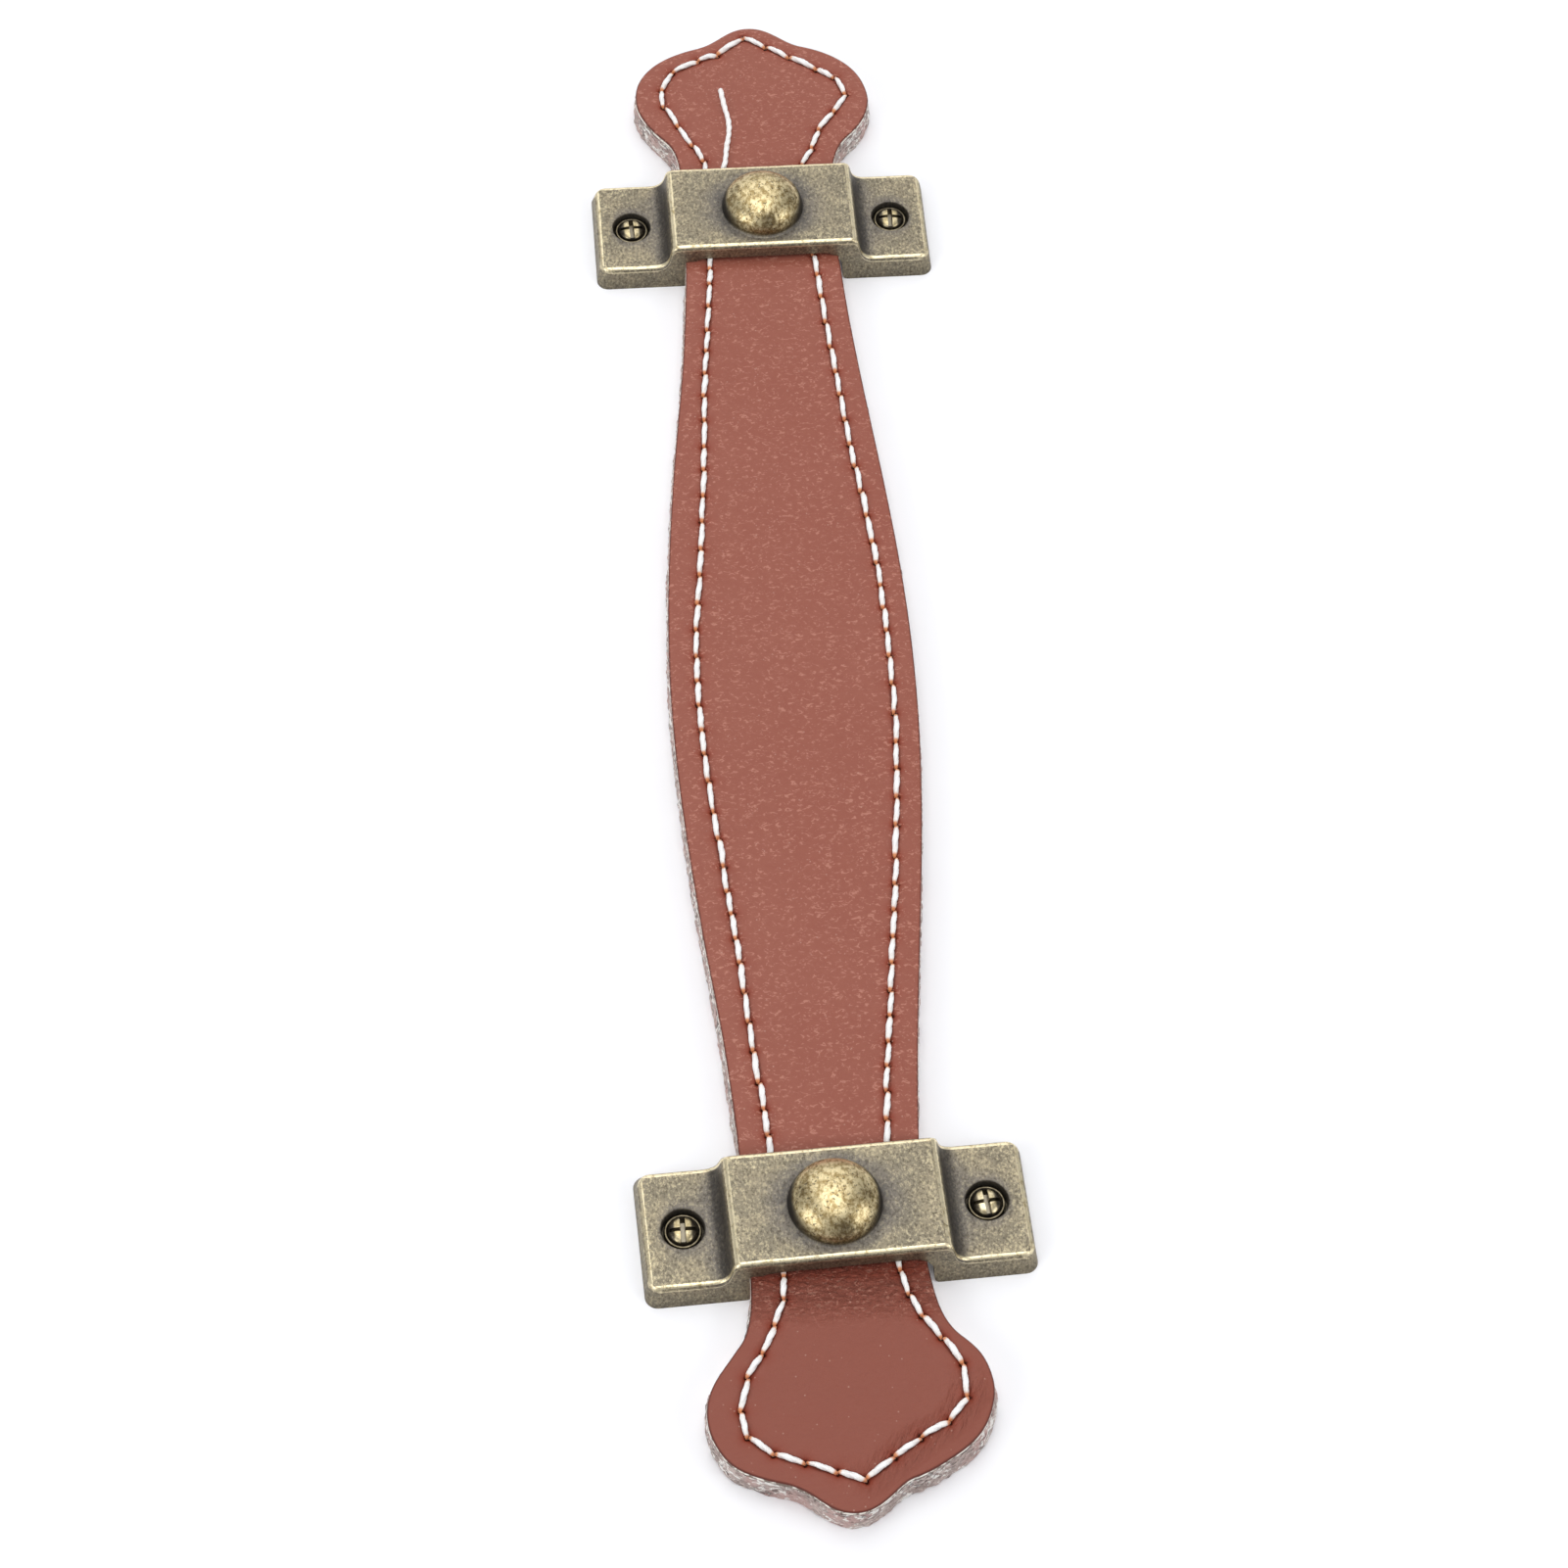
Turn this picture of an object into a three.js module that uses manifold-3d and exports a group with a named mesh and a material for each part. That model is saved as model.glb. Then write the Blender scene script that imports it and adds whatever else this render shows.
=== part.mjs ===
// Leather cabinet pull: a stitched strap with a leaf-shaped lobe at each end, held down by two cast
// brackets with a domed boss, each fixed by two cross-recessed screws.
// Millimetres. The origin is on the cabinet's face, behind the middle of the strap. +Y runs along the
// strap to its upper end, +X across it to the right and +Z away from the cabinet.
import * as THREE from 'three';
import { mergeVertices } from 'three/addons/utils/BufferGeometryUtils.js';
import Module from 'manifold-3d';

const wasm = await Module();
wasm.setup();

// Strap: a facing of finished leather glued on a board of pressed leather fibre
const STRAP_LENGTH = 261;
const BELLY_HALF_WIDTH = 18;
const NECK_HALF_WIDTH = 12;
const LOBE_HALF_WIDTH = 19;
const LOBE_LENGTH = 37.6;
const LOBE_WIDEST_FROM_TIP = 15.9;
const FACING_THICKNESS = 0.8;
const BACKING_THICKNESS = 4;
const FACING_EDGE_RADIUS = 0.4;

// Lobe: where its edge turns from hollow to full, and from the shoulder into the ogee of the tip
const FLARE_BEYOND_NECK = 2.8;
const FLARE_FROM_TIP = 24.3;
const FLARE_ANGLE = THREE.MathUtils.degToRad(46.5);
const OGEE_HALF_WIDTH = 8.6;
const OGEE_FROM_TIP = 4.5;
const OGEE_ANGLE = THREE.MathUtils.degToRad(164);

// Seam: one row of lockstitch all the way round, set in from the edge
const SEAM_INSET = 3.9;
const SEAM_NECK_FROM_TIP = 32.3;
const SEAM_CORNER_BEYOND = 1.9;
const SEAM_CORNER_FROM_TIP = 12.2;
const SEAM_CORNER_CUT = 5;
const STITCH_LENGTH = 4.55;
const THREAD_DIAMETER = 0.8;
const PINCHED_THREAD_DIAMETER = 0.5;
const THREAD_LIFT = 0.05;
const THREAD_DIP = 0.2;
const THREAD_SHOULDER = 0.9;
const NEEDLE_HOLE_LENGTH = 2.1;
const NEEDLE_HOLE_WIDTH = 1.1;
const NEEDLE_HOLE_TAPER = 0.6;
const SEAM_GROOVE_WIDTH = 2;
const SEAM_GROOVE_DEPTH = 0.95;

// Loose end of the needle thread: it leaves the seam under the upper bracket and lies on the lobe.
// Each point is the distance in from the left row of stitches and the distance back from the tip.
const TAIL_ROUTE = [
  [0, 35.4],
  [0.8, 34],
  [1.9, 32.2],
  [3.1, 30.4],
  [3.6, 26.1],
  [4, 23.3],
  [4.2, 20.6],
  [3.7, 17.4],
  [3.2, 13.8],
];

// Bracket: a bridge over the strap between two ears, cast in one with its domed boss
const UPPER_BRACKET_FROM_TIP = 40.6;
const LOWER_BRACKET_FROM_TIP = 43.6;
const BRACKET_OFFSET = 0.3;
const UPPER_BRACKET_TURN = THREE.MathUtils.degToRad(1.2);
const LOWER_BRACKET_TURN = THREE.MathUtils.degToRad(3.2);
const BRACKET_DEPTH = 19.9;
const BRIDGE_THICKNESS = 1.35;
const BRIDGE_SIDE_WALL = 1.4;
const STEP_RUN = 1;
const EAR_LENGTH = 11.2;
const EAR_HEIGHT = 3.2;
const FOOT_FLARE = 0.44;
const FOOT_FLARE_HEIGHT = 2.4;
const DRAFT = 0.1;
const END_DRAFT = 0.18;
const EDGE_RADIUS = 0.75;
const STEP_FILLET = 1;
const PLAN_CORNER_RADIUS = 1.8;
const CHANNEL_CORNER_RADIUS = 1.6;
const STRAP_SIDE_CLEARANCE = 1.2;
const STRAP_TOP_CLEARANCE = 0.3;
const BOSS_DIAMETER = 12;
const BOSS_HEIGHT = 4.3;
const BOSS_FILLET = 0.7;

// Screw: pan head with a cross recess, sunk in a counterbore in the ear
const SCREW_FROM_STEP = 5.2;
const SCREW_DIAMETER = 3;
const SCREW_LENGTH = 12;
const SCREW_POINT_LENGTH = 3;
const HEAD_DIAMETER = 5.2;
const HEAD_HEIGHT = 2.2;
const HEAD_RIM_HEIGHT = 1.3;
const COUNTERBORE_DEPTH = 2.3;
const COUNTERBORE_CLEARANCE = 0.35;
const COUNTERBORE_CHAMFER = 0.25;
const SHANK_CLEARANCE = 0.15;
const RECESS_SPAN = 4.2;
const RECESS_FLOOR_SPAN = 1.8;
const RECESS_WIDTH = 0.75;
const RECESS_DEPTH = 1.5;
const RECESS_FLOOR_WIDTH = 0.5;

// Facets
const LOBE_CURVE_STEPS = 6;
const BELLY_STEPS = 10;
const ROUNDING_STEPS = 3;
const NEEDLE_THREAD_SIDES = 5;
const BOBBIN_THREAD_SIDES = 4;
const BOSS_SEGMENTS = 24;
const SCREW_SEGMENTS = 16;
const COUNTERBORE_SEGMENTS = 16;

// Cutters run past the faces that they open
const CUT_OVERRUN = 1;
const SKIN = 0.02;

// Sizes that follow from the ones above
const TIP_Y = STRAP_LENGTH / 2;
const NECK_END_Y = TIP_Y - LOBE_LENGTH;
const STRAP_THICKNESS = BACKING_THICKNESS + FACING_THICKNESS;
const THREAD_TOP = STRAP_THICKNESS + THREAD_LIFT + THREAD_DIAMETER;
const CHANNEL_HALF_WIDTH = NECK_HALF_WIDTH + STRAP_SIDE_CLEARANCE;
const CHANNEL_HEIGHT = THREAD_TOP + STRAP_TOP_CLEARANCE;
const BRIDGE_HEIGHT = CHANNEL_HEIGHT + BRIDGE_THICKNESS;
const BRIDGE_HALF_LENGTH = CHANNEL_HALF_WIDTH + BRIDGE_SIDE_WALL;
const STEP_FOOT = BRIDGE_HALF_LENGTH + STEP_RUN;
const BRACKET_HALF_LENGTH = STEP_FOOT + EAR_LENGTH;
const SCREW_X = STEP_FOOT + SCREW_FROM_STEP;
const SCREW_SEAT = EAR_HEIGHT - COUNTERBORE_DEPTH;

// Solids: closed meshes go in, are cut or joined, and come back as geometry
function toSolid(geometry) {
  const bare = geometry.clone();
  bare.deleteAttribute('normal');
  bare.deleteAttribute('uv');
  const merged = mergeVertices(bare, 1e-5);
  const mesh = new wasm.Mesh({
    numProp: 3,
    vertProperties: new Float32Array(merged.attributes.position.array),
    triVerts: new Uint32Array(merged.index.array),
  });
  return new wasm.Manifold(mesh);
}

function toGeometry(solid) {
  const mesh = solid.getMesh();
  const geometry = new THREE.BufferGeometry();
  geometry.setAttribute('position', new THREE.BufferAttribute(new Float32Array(mesh.vertProperties), 3));
  geometry.setIndex(new THREE.BufferAttribute(new Uint32Array(mesh.triVerts), 1));
  geometry.computeVertexNormals();
  return geometry;
}

// A skin over rings of points. Each ring turns anticlockwise seen from the ring before it. The ends
// are closed by fans, or the last ring is joined to the first.
function loft(rings, closedOnItself) {
  const sides = rings[0].length;
  const positions = rings.flat().flatMap((point) => [point.x, point.y, point.z]);
  const index = [];
  const spans = closedOnItself ? rings.length : rings.length - 1;
  for (let span = 0; span < spans; span += 1) {
    const near = span * sides;
    const far = ((span + 1) % rings.length) * sides;
    for (let side = 0; side < sides; side += 1) {
      const next = (side + 1) % sides;
      index.push(near + side, near + next, far + next);
      index.push(near + side, far + next, far + side);
    }
  }
  if (!closedOnItself) {
    const last = (rings.length - 1) * sides;
    for (let side = 1; side < sides - 1; side += 1) {
      index.push(0, side + 1, side);
      index.push(last, last + side, last + side + 1);
    }
  }
  const geometry = new THREE.BufferGeometry();
  geometry.setAttribute('position', new THREE.BufferAttribute(new Float32Array(positions), 3));
  geometry.setIndex(index);
  return geometry;
}

// A corner of an outline replaced by a short curve that touches both sides
function roundedCorner(before, corner, after, cut, steps) {
  const start = corner.clone().add(before.clone().sub(corner).setLength(cut));
  const end = corner.clone().add(after.clone().sub(corner).setLength(cut));
  return new THREE.QuadraticBezierCurve(start, corner, end).getPoints(steps);
}

// Strap outline

// Half-width between the lobes: a raised cosine from the belly to the neck
function bodyHalfWidth(y) {
  const swell = (1 + Math.cos((Math.PI * y) / NECK_END_Y)) / 2;
  return NECK_HALF_WIDTH + (BELLY_HALF_WIDTH - NECK_HALF_WIDTH) * swell;
}

// A place on the lobe's edge, the way that the edge runs there, and the reach of the curve's two
// handles along it
function edgeStation(x, y, angle, reachBefore, reachAfter) {
  const place = new THREE.Vector2(x, y);
  const along = new THREE.Vector2(Math.cos(angle), Math.sin(angle));
  return {
    place,
    before: place.clone().addScaledVector(along, -reachBefore),
    after: place.clone().addScaledVector(along, reachAfter),
  };
}

function lobeStations() {
  const up = Math.PI / 2;
  const flareX = NECK_HALF_WIDTH + FLARE_BEYOND_NECK;
  return [
    edgeStation(NECK_HALF_WIDTH, NECK_END_Y, up, 0, 6.4),
    edgeStation(flareX, TIP_Y - FLARE_FROM_TIP, FLARE_ANGLE, 3.2, 5.1),
    edgeStation(LOBE_HALF_WIDTH, TIP_Y - LOBE_WIDEST_FROM_TIP, up, 1.5, 7),
    edgeStation(OGEE_HALF_WIDTH, TIP_Y - OGEE_FROM_TIP, OGEE_ANGLE, 4.8, 3.5),
    edgeStation(0, TIP_Y, Math.PI, 3.8, 0),
  ];
}

// From the middle of the right edge up to the tip
function outlineQuarter() {
  const points = [];
  for (let step = 0; step < BELLY_STEPS; step += 1) {
    const y = (NECK_END_Y * step) / BELLY_STEPS;
    points.push(new THREE.Vector2(bodyHalfWidth(y), y));
  }
  const stations = lobeStations();
  for (let i = 0; i + 1 < stations.length; i += 1) {
    const from = stations[i];
    const to = stations[i + 1];
    const curve = new THREE.CubicBezierCurve(from.place, from.after, to.before, to.place);
    points.push(...curve.getPoints(LOBE_CURVE_STEPS).slice(0, -1));
  }
  points.push(stations.at(-1).place);
  return points;
}

// The quarter mirrored left and down, anticlockwise, with no point twice
function allRound(quarter) {
  const leftUpper = quarter.slice(1, -1).map((p) => new THREE.Vector2(-p.x, p.y)).reverse();
  const upper = [...quarter, ...leftUpper];
  const leftMiddle = new THREE.Vector2(-quarter[0].x, quarter[0].y);
  const lower = upper.slice(1).map((p) => new THREE.Vector2(p.x, -p.y)).reverse();
  return [...upper, leftMiddle, ...lower];
}

// The outline moved inwards, mitred where it turns a corner
function insetOutline(outline, inset) {
  return outline.map((point, i) => {
    const arriving = point.clone().sub(outline.at(i - 1)).normalize();
    const leaving = outline[(i + 1) % outline.length].clone().sub(point).normalize();
    const along = arriving.clone().add(leaving).normalize();
    const reach = inset / along.dot(leaving);
    return new THREE.Vector2(point.x - along.y * reach, point.y + along.x * reach);
  });
}

function ringAt(outline, z) {
  return outline.map((point) => new THREE.Vector3(point.x, point.y, z));
}

// Flat caps of a lofted slab, triangulated because the outline is hollow in places
function slab(outline, levels) {
  const rings = levels.map((level) => ringAt(insetOutline(outline, level.inset), level.z));
  const sides = outline.length;
  const skin = loft(rings, false);
  const wallIndex = Array.from(skin.index.array).slice(0, (rings.length - 1) * sides * 6);
  const faces = THREE.ShapeUtils.triangulateShape(outline, []);
  const last = (rings.length - 1) * sides;
  for (const [a, b, c] of faces) {
    wallIndex.push(a, c, b);
    wallIndex.push(last + a, last + b, last + c);
  }
  skin.setIndex(wallIndex);
  return skin;
}

// Seam

// Right half of the seam, from the middle of the strap to the upper tip
function seamQuarter() {
  const tip = new THREE.Vector2(0, TIP_Y - SEAM_INSET);
  const neckY = TIP_Y - SEAM_NECK_FROM_TIP;
  const neckX = NECK_HALF_WIDTH - SEAM_INSET;
  const neck = new THREE.Vector2(neckX, neckY);
  const corner = new THREE.Vector2(
    LOBE_HALF_WIDTH - SEAM_INSET + SEAM_CORNER_BEYOND,
    TIP_Y - SEAM_CORNER_FROM_TIP,
  );
  const points = [];
  for (let step = 0; step <= BELLY_STEPS; step += 1) {
    const y = (NECK_END_Y * step) / BELLY_STEPS;
    points.push(new THREE.Vector2(bodyHalfWidth(y) - SEAM_INSET, y));
  }
  points.push(neck);
  points.push(...roundedCorner(neck, corner, tip, SEAM_CORNER_CUT, LOBE_CURVE_STEPS));
  points.push(tip);
  return points;
}

// Places along the closed seam by distance, starting at the upper tip
function seamLine() {
  const points = allRound(seamQuarter());
  const start = points.findIndex((p) => p.y === TIP_Y - SEAM_INSET);
  const turned = [...points.slice(start), ...points.slice(0, start + 1)];
  const distances = [0];
  for (let i = 1; i < turned.length; i += 1) {
    distances.push(distances[i - 1] + turned[i].distanceTo(turned[i - 1]));
  }
  const length = distances.at(-1);
  const at = (distance) => {
    const wrapped = THREE.MathUtils.euclideanModulo(distance, length);
    const next = Math.max(1, distances.findIndex((d) => d >= wrapped));
    const share = (wrapped - distances[next - 1]) / (distances[next] - distances[next - 1]);
    return turned[next - 1].clone().lerp(turned[next], share);
  };
  return { length, at };
}

// An even count, so that a needle hole falls on both tips
function stitchCount(seam) {
  return 2 * Math.round(seam.length / STITCH_LENGTH / 2);
}

// A round tube through centres that each have their own radius, its rings square to the path
function tube(centres, sides, closedOnItself) {
  const up = new THREE.Vector3(0, 0, 1);
  const last = centres.length - 1;
  const rings = centres.map((centre, i) => {
    const before = closedOnItself ? centres.at(i - 1) : centres[Math.max(i - 1, 0)];
    const after = closedOnItself ? centres[(i + 1) % centres.length] : centres[Math.min(i + 1, last)];
    const along = after.place.clone().sub(before.place).normalize();
    const across = new THREE.Vector3().crossVectors(up, along).normalize();
    const over = new THREE.Vector3().crossVectors(along, across);
    return Array.from({ length: sides }, (_, side) => {
      const turn = (2 * Math.PI * (side + 0.5)) / sides;
      return centre.place
        .clone()
        .addScaledVector(across, centre.radius * Math.cos(turn))
        .addScaledVector(over, centre.radius * Math.sin(turn));
    });
  });
  return loft(rings, closedOnItself);
}

function threadStation(seam, distance, z, diameter) {
  const place = seam.at(distance);
  return { place: new THREE.Vector3(place.x, place.y, z), radius: diameter / 2 };
}

// The needle thread lies full and round on the facing, and is drawn down and pinched at each hole
function needleThreadSolid(seam) {
  const count = stitchCount(seam);
  const pitch = seam.length / count;
  const laidZ = STRAP_THICKNESS + THREAD_LIFT + THREAD_DIAMETER / 2;
  const dippedZ = STRAP_THICKNESS - THREAD_DIP;
  const stations = [];
  for (let stitch = 0; stitch < count; stitch += 1) {
    const hole = stitch * pitch;
    stations.push(threadStation(seam, hole, dippedZ, PINCHED_THREAD_DIAMETER));
    stations.push(threadStation(seam, hole + THREAD_SHOULDER, laidZ, THREAD_DIAMETER));
    stations.push(threadStation(seam, hole + pitch - THREAD_SHOULDER, laidZ, THREAD_DIAMETER));
  }
  const leftRow = SEAM_INSET - NECK_HALF_WIDTH;
  const tail = TAIL_ROUTE.map(([fromRow, fromTip]) => ({
    place: new THREE.Vector3(leftRow + fromRow, TIP_Y - fromTip, laidZ),
    radius: THREAD_DIAMETER / 2,
  }));
  const loop = toSolid(tube(stations, NEEDLE_THREAD_SIDES, true));
  return loop.add(toSolid(tube(tail, NEEDLE_THREAD_SIDES, false)));
}

// The bobbin thread runs along the back, pinched where the needle thread catches it
function bobbinThread(seam) {
  const count = stitchCount(seam);
  const pitch = seam.length / count;
  const laidZ = THREAD_LIFT + THREAD_DIAMETER / 2;
  const stations = [];
  for (let stitch = 0; stitch < count; stitch += 1) {
    stations.push(threadStation(seam, stitch * pitch, laidZ, PINCHED_THREAD_DIAMETER));
    stations.push(threadStation(seam, (stitch + 0.5) * pitch, laidZ, THREAD_DIAMETER));
  }
  return tube(stations, BOBBIN_THREAD_SIDES, true);
}

// A four-sided needle hole that narrows downwards, turned to follow the seam
function needleHole(seam, distance) {
  const centre = seam.at(distance);
  const before = seam.at(distance - THREAD_SHOULDER);
  const after = seam.at(distance + THREAD_SHOULDER);
  const along = after.sub(before).normalize();
  const across = new THREE.Vector2(-along.y, along.x);
  const corners = [
    [-1, -1],
    [1, -1],
    [1, 1],
    [-1, 1],
  ];
  const ring = (halfLength, halfWidth, z) => corners.map(([a, b]) => {
    const corner = centre.clone().addScaledVector(along, a * halfLength).addScaledVector(across, b * halfWidth);
    return new THREE.Vector3(corner.x, corner.y, z);
  });
  const halfLength = NEEDLE_HOLE_LENGTH / 2;
  const halfWidth = NEEDLE_HOLE_WIDTH / 2;
  const below = ring(halfLength * NEEDLE_HOLE_TAPER, halfWidth, BACKING_THICKNESS - SKIN);
  const above = ring(halfLength, halfWidth, STRAP_THICKNESS + SKIN);
  return toSolid(loft([below, above], false));
}

function facing(outline, seam) {
  const round = FACING_EDGE_RADIUS;
  const levels = [{ inset: 0, z: BACKING_THICKNESS }];
  for (let step = 0; step <= ROUNDING_STEPS - 1; step += 1) {
    const turn = (Math.PI / 2) * (step / (ROUNDING_STEPS - 1));
    const inset = round * (1 - Math.cos(turn));
    levels.push({ inset, z: STRAP_THICKNESS - round * (1 - Math.sin(turn)) });
  }
  const count = stitchCount(seam);
  const holes = [];
  for (let stitch = 0; stitch < count; stitch += 1) {
    holes.push(needleHole(seam, (stitch * seam.length) / count));
  }
  return toGeometry(toSolid(slab(outline, levels)).subtract(wasm.Manifold.union(holes)));
}

// The fibre board has a groove along the seam on its back, where the bobbin thread is sunk
function backing(outline, seam) {
  const count = stitchCount(seam);
  const middle = Array.from({ length: count }, (_, i) => seam.at((i * seam.length) / count));
  const half = SEAM_GROOVE_WIDTH / 2;
  const ribbon = new THREE.Shape(insetOutline(middle, -half));
  ribbon.holes.push(new THREE.Path(insetOutline(middle, half)));
  const depth = SEAM_GROOVE_DEPTH + CUT_OVERRUN;
  const groove = new THREE.ExtrudeGeometry(ribbon, { depth, bevelEnabled: false, curveSegments: 1 });
  groove.translate(0, 0, -CUT_OVERRUN);
  const levels = [{ inset: 0, z: 0 }, { inset: 0, z: BACKING_THICKNESS }];
  return toGeometry(toSolid(slab(outline, levels)).subtract(toSolid(groove)));
}

// Bracket

// Top line of the bracket from its middle to its right end: bridge, sloping step, ear, rounded end
function topLineHalf() {
  const endX = BRACKET_HALF_LENGTH - END_DRAFT * EAR_HEIGHT + SKIN;
  const middle = new THREE.Vector2(0, BRIDGE_HEIGHT);
  const shoulder = new THREE.Vector2(BRIDGE_HALF_LENGTH, BRIDGE_HEIGHT);
  const foot = new THREE.Vector2(STEP_FOOT, EAR_HEIGHT);
  const end = new THREE.Vector2(endX, EAR_HEIGHT);
  const below = new THREE.Vector2(endX, 0);
  return [
    ...roundedCorner(middle, shoulder, foot, EDGE_RADIUS, ROUNDING_STEPS),
    ...roundedCorner(shoulder, foot, end, STEP_FILLET, ROUNDING_STEPS),
    ...roundedCorner(foot, end, below, EDGE_RADIUS, ROUNDING_STEPS),
    new THREE.Vector2(BRACKET_HALF_LENGTH + CUT_OVERRUN, EAR_HEIGHT - EDGE_RADIUS),
  ];
}

// Half the bracket's depth at a height: its foot flares out, and the wall above it has a slight draft
function halfDepthAt(z) {
  const flared = Math.min(z, FOOT_FLARE_HEIGHT);
  return BRACKET_DEPTH / 2 - FOOT_FLARE * flared - DRAFT * (z - flared);
}

// Section across the bracket where its top is at the given height, with rounded upper edges
function crossRing(x, top) {
  const outer = new THREE.Vector2(halfDepthAt(-CUT_OVERRUN) + SKIN, -CUT_OVERRUN);
  const waist = new THREE.Vector2(halfDepthAt(FOOT_FLARE_HEIGHT) + SKIN, FOOT_FLARE_HEIGHT);
  const edge = new THREE.Vector2(halfDepthAt(top) + SKIN, top);
  const middle = new THREE.Vector2(0, top);
  const right = [outer, waist, ...roundedCorner(waist, edge, middle, EDGE_RADIUS, ROUNDING_STEPS)];
  const left = right.map((p) => new THREE.Vector2(-p.x, p.y)).reverse();
  return [...right, ...left].map((p) => new THREE.Vector3(x, p.x, p.y));
}

function bracketRoof() {
  const half = topLineHalf();
  const left = half.map((p) => new THREE.Vector2(-p.x, p.y)).reverse();
  return loft([...left, ...half].map((p) => crossRing(p.x, p.y)), false);
}

// Plan of the bracket at a height, a rectangle with rounded corners
function planRing(z) {
  const halfX = BRACKET_HALF_LENGTH - END_DRAFT * z;
  const halfY = halfDepthAt(z);
  const corners = [
    new THREE.Vector2(halfX, -halfY),
    new THREE.Vector2(halfX, halfY),
    new THREE.Vector2(-halfX, halfY),
    new THREE.Vector2(-halfX, -halfY),
  ];
  const points = corners.flatMap((corner, i) => {
    const after = corners[(i + 1) % corners.length];
    return roundedCorner(corners.at(i - 1), corner, after, PLAN_CORNER_RADIUS, ROUNDING_STEPS + 1);
  });
  return points.map((p) => new THREE.Vector3(p.x, p.y, z));
}

// Domed boss: nearly half a ball, with a fillet round its foot and a root inside the bridge
function boss() {
  const radius = BOSS_DIAMETER / 2;
  const rootZ = BRIDGE_HEIGHT - BRIDGE_THICKNESS / 2;
  const fillet = roundedCorner(
    new THREE.Vector2(radius + BOSS_FILLET, BRIDGE_HEIGHT),
    new THREE.Vector2(radius, BRIDGE_HEIGHT),
    new THREE.Vector2(radius, BRIDGE_HEIGHT + BOSS_FILLET),
    BOSS_FILLET,
    ROUNDING_STEPS,
  );
  const profile = [new THREE.Vector2(0, rootZ), new THREE.Vector2(radius, rootZ), ...fillet];
  const domeBase = BRIDGE_HEIGHT + BOSS_FILLET;
  const domeHeight = BOSS_HEIGHT - BOSS_FILLET;
  const domeSteps = 2 * ROUNDING_STEPS + 1;
  for (let step = 1; step < domeSteps; step += 1) {
    const turn = (Math.PI / 2) * (step / domeSteps);
    profile.push(new THREE.Vector2(radius * Math.cos(turn), domeBase + domeHeight * Math.sin(turn)));
  }
  profile.push(new THREE.Vector2(0, BRIDGE_HEIGHT + BOSS_HEIGHT));
  return revolve(profile, BOSS_SEGMENTS);
}

// A profile of radius and height turned about +Z
function revolve(profile, segments) {
  return toSolid(new THREE.LatheGeometry(profile, segments).rotateX(Math.PI / 2));
}

// Channel that the strap runs through, open at both sides and at the back
function channel() {
  const half = CHANNEL_HALF_WIDTH;
  const foot = new THREE.Vector2(half, -CUT_OVERRUN);
  const corner = new THREE.Vector2(half, CHANNEL_HEIGHT);
  const middle = new THREE.Vector2(0, CHANNEL_HEIGHT);
  const right = [foot, ...roundedCorner(foot, corner, middle, CHANNEL_CORNER_RADIUS, ROUNDING_STEPS)];
  const left = right.map((p) => new THREE.Vector2(-p.x, p.y)).reverse();
  const depth = BRACKET_DEPTH + 2 * CUT_OVERRUN;
  const cutter = new THREE.ExtrudeGeometry(new THREE.Shape([...right, ...left]), { depth, bevelEnabled: false });
  cutter.rotateX(Math.PI / 2);
  cutter.translate(0, depth / 2, 0);
  return toSolid(cutter);
}

// Counterbore for the head, with a chamfered mouth, above the hole for the shank
function screwHole(x) {
  const boreRadius = HEAD_DIAMETER / 2 + COUNTERBORE_CLEARANCE;
  const holeRadius = SCREW_DIAMETER / 2 + SHANK_CLEARANCE;
  const mouth = EAR_HEIGHT - COUNTERBORE_CHAMFER;
  const profile = [
    new THREE.Vector2(0, -CUT_OVERRUN),
    new THREE.Vector2(holeRadius, -CUT_OVERRUN),
    new THREE.Vector2(holeRadius, SCREW_SEAT),
    new THREE.Vector2(boreRadius, SCREW_SEAT),
    new THREE.Vector2(boreRadius, mouth),
    new THREE.Vector2(boreRadius + 2 * COUNTERBORE_CHAMFER, mouth + 2 * COUNTERBORE_CHAMFER),
    new THREE.Vector2(0, mouth + 2 * COUNTERBORE_CHAMFER),
  ];
  return revolve(profile, COUNTERBORE_SEGMENTS).translate([x, 0, 0]);
}

function bracket() {
  const levels = [0, FOOT_FLARE_HEIGHT, BRIDGE_HEIGHT + CUT_OVERRUN];
  const block = toSolid(loft(levels.map(planRing), false));
  const body = toSolid(bracketRoof()).intersect(block).add(boss());
  const cuts = [channel(), screwHole(-SCREW_X), screwHole(SCREW_X)];
  return toGeometry(body.subtract(wasm.Manifold.union(cuts)));
}

// Screw

// One blade of the cross recess, wide at the mouth and drawn in towards its floor
function recessBlade(turn) {
  const floorZ = HEAD_HEIGHT - RECESS_DEPTH;
  const mouthZ = HEAD_HEIGHT + CUT_OVERRUN;
  const slope = (RECESS_SPAN - RECESS_FLOOR_SPAN) / RECESS_DEPTH;
  const mouthSpan = RECESS_FLOOR_SPAN + slope * (mouthZ - floorZ);
  const ring = (span, width, z) => [
    new THREE.Vector3(-span / 2, -width / 2, z),
    new THREE.Vector3(span / 2, -width / 2, z),
    new THREE.Vector3(span / 2, width / 2, z),
    new THREE.Vector3(-span / 2, width / 2, z),
  ];
  const below = ring(RECESS_FLOOR_SPAN, RECESS_FLOOR_WIDTH, floorZ);
  const above = ring(mouthSpan, RECESS_WIDTH, mouthZ);
  return toSolid(loft([below, above], false).rotateZ(turn));
}

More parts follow.
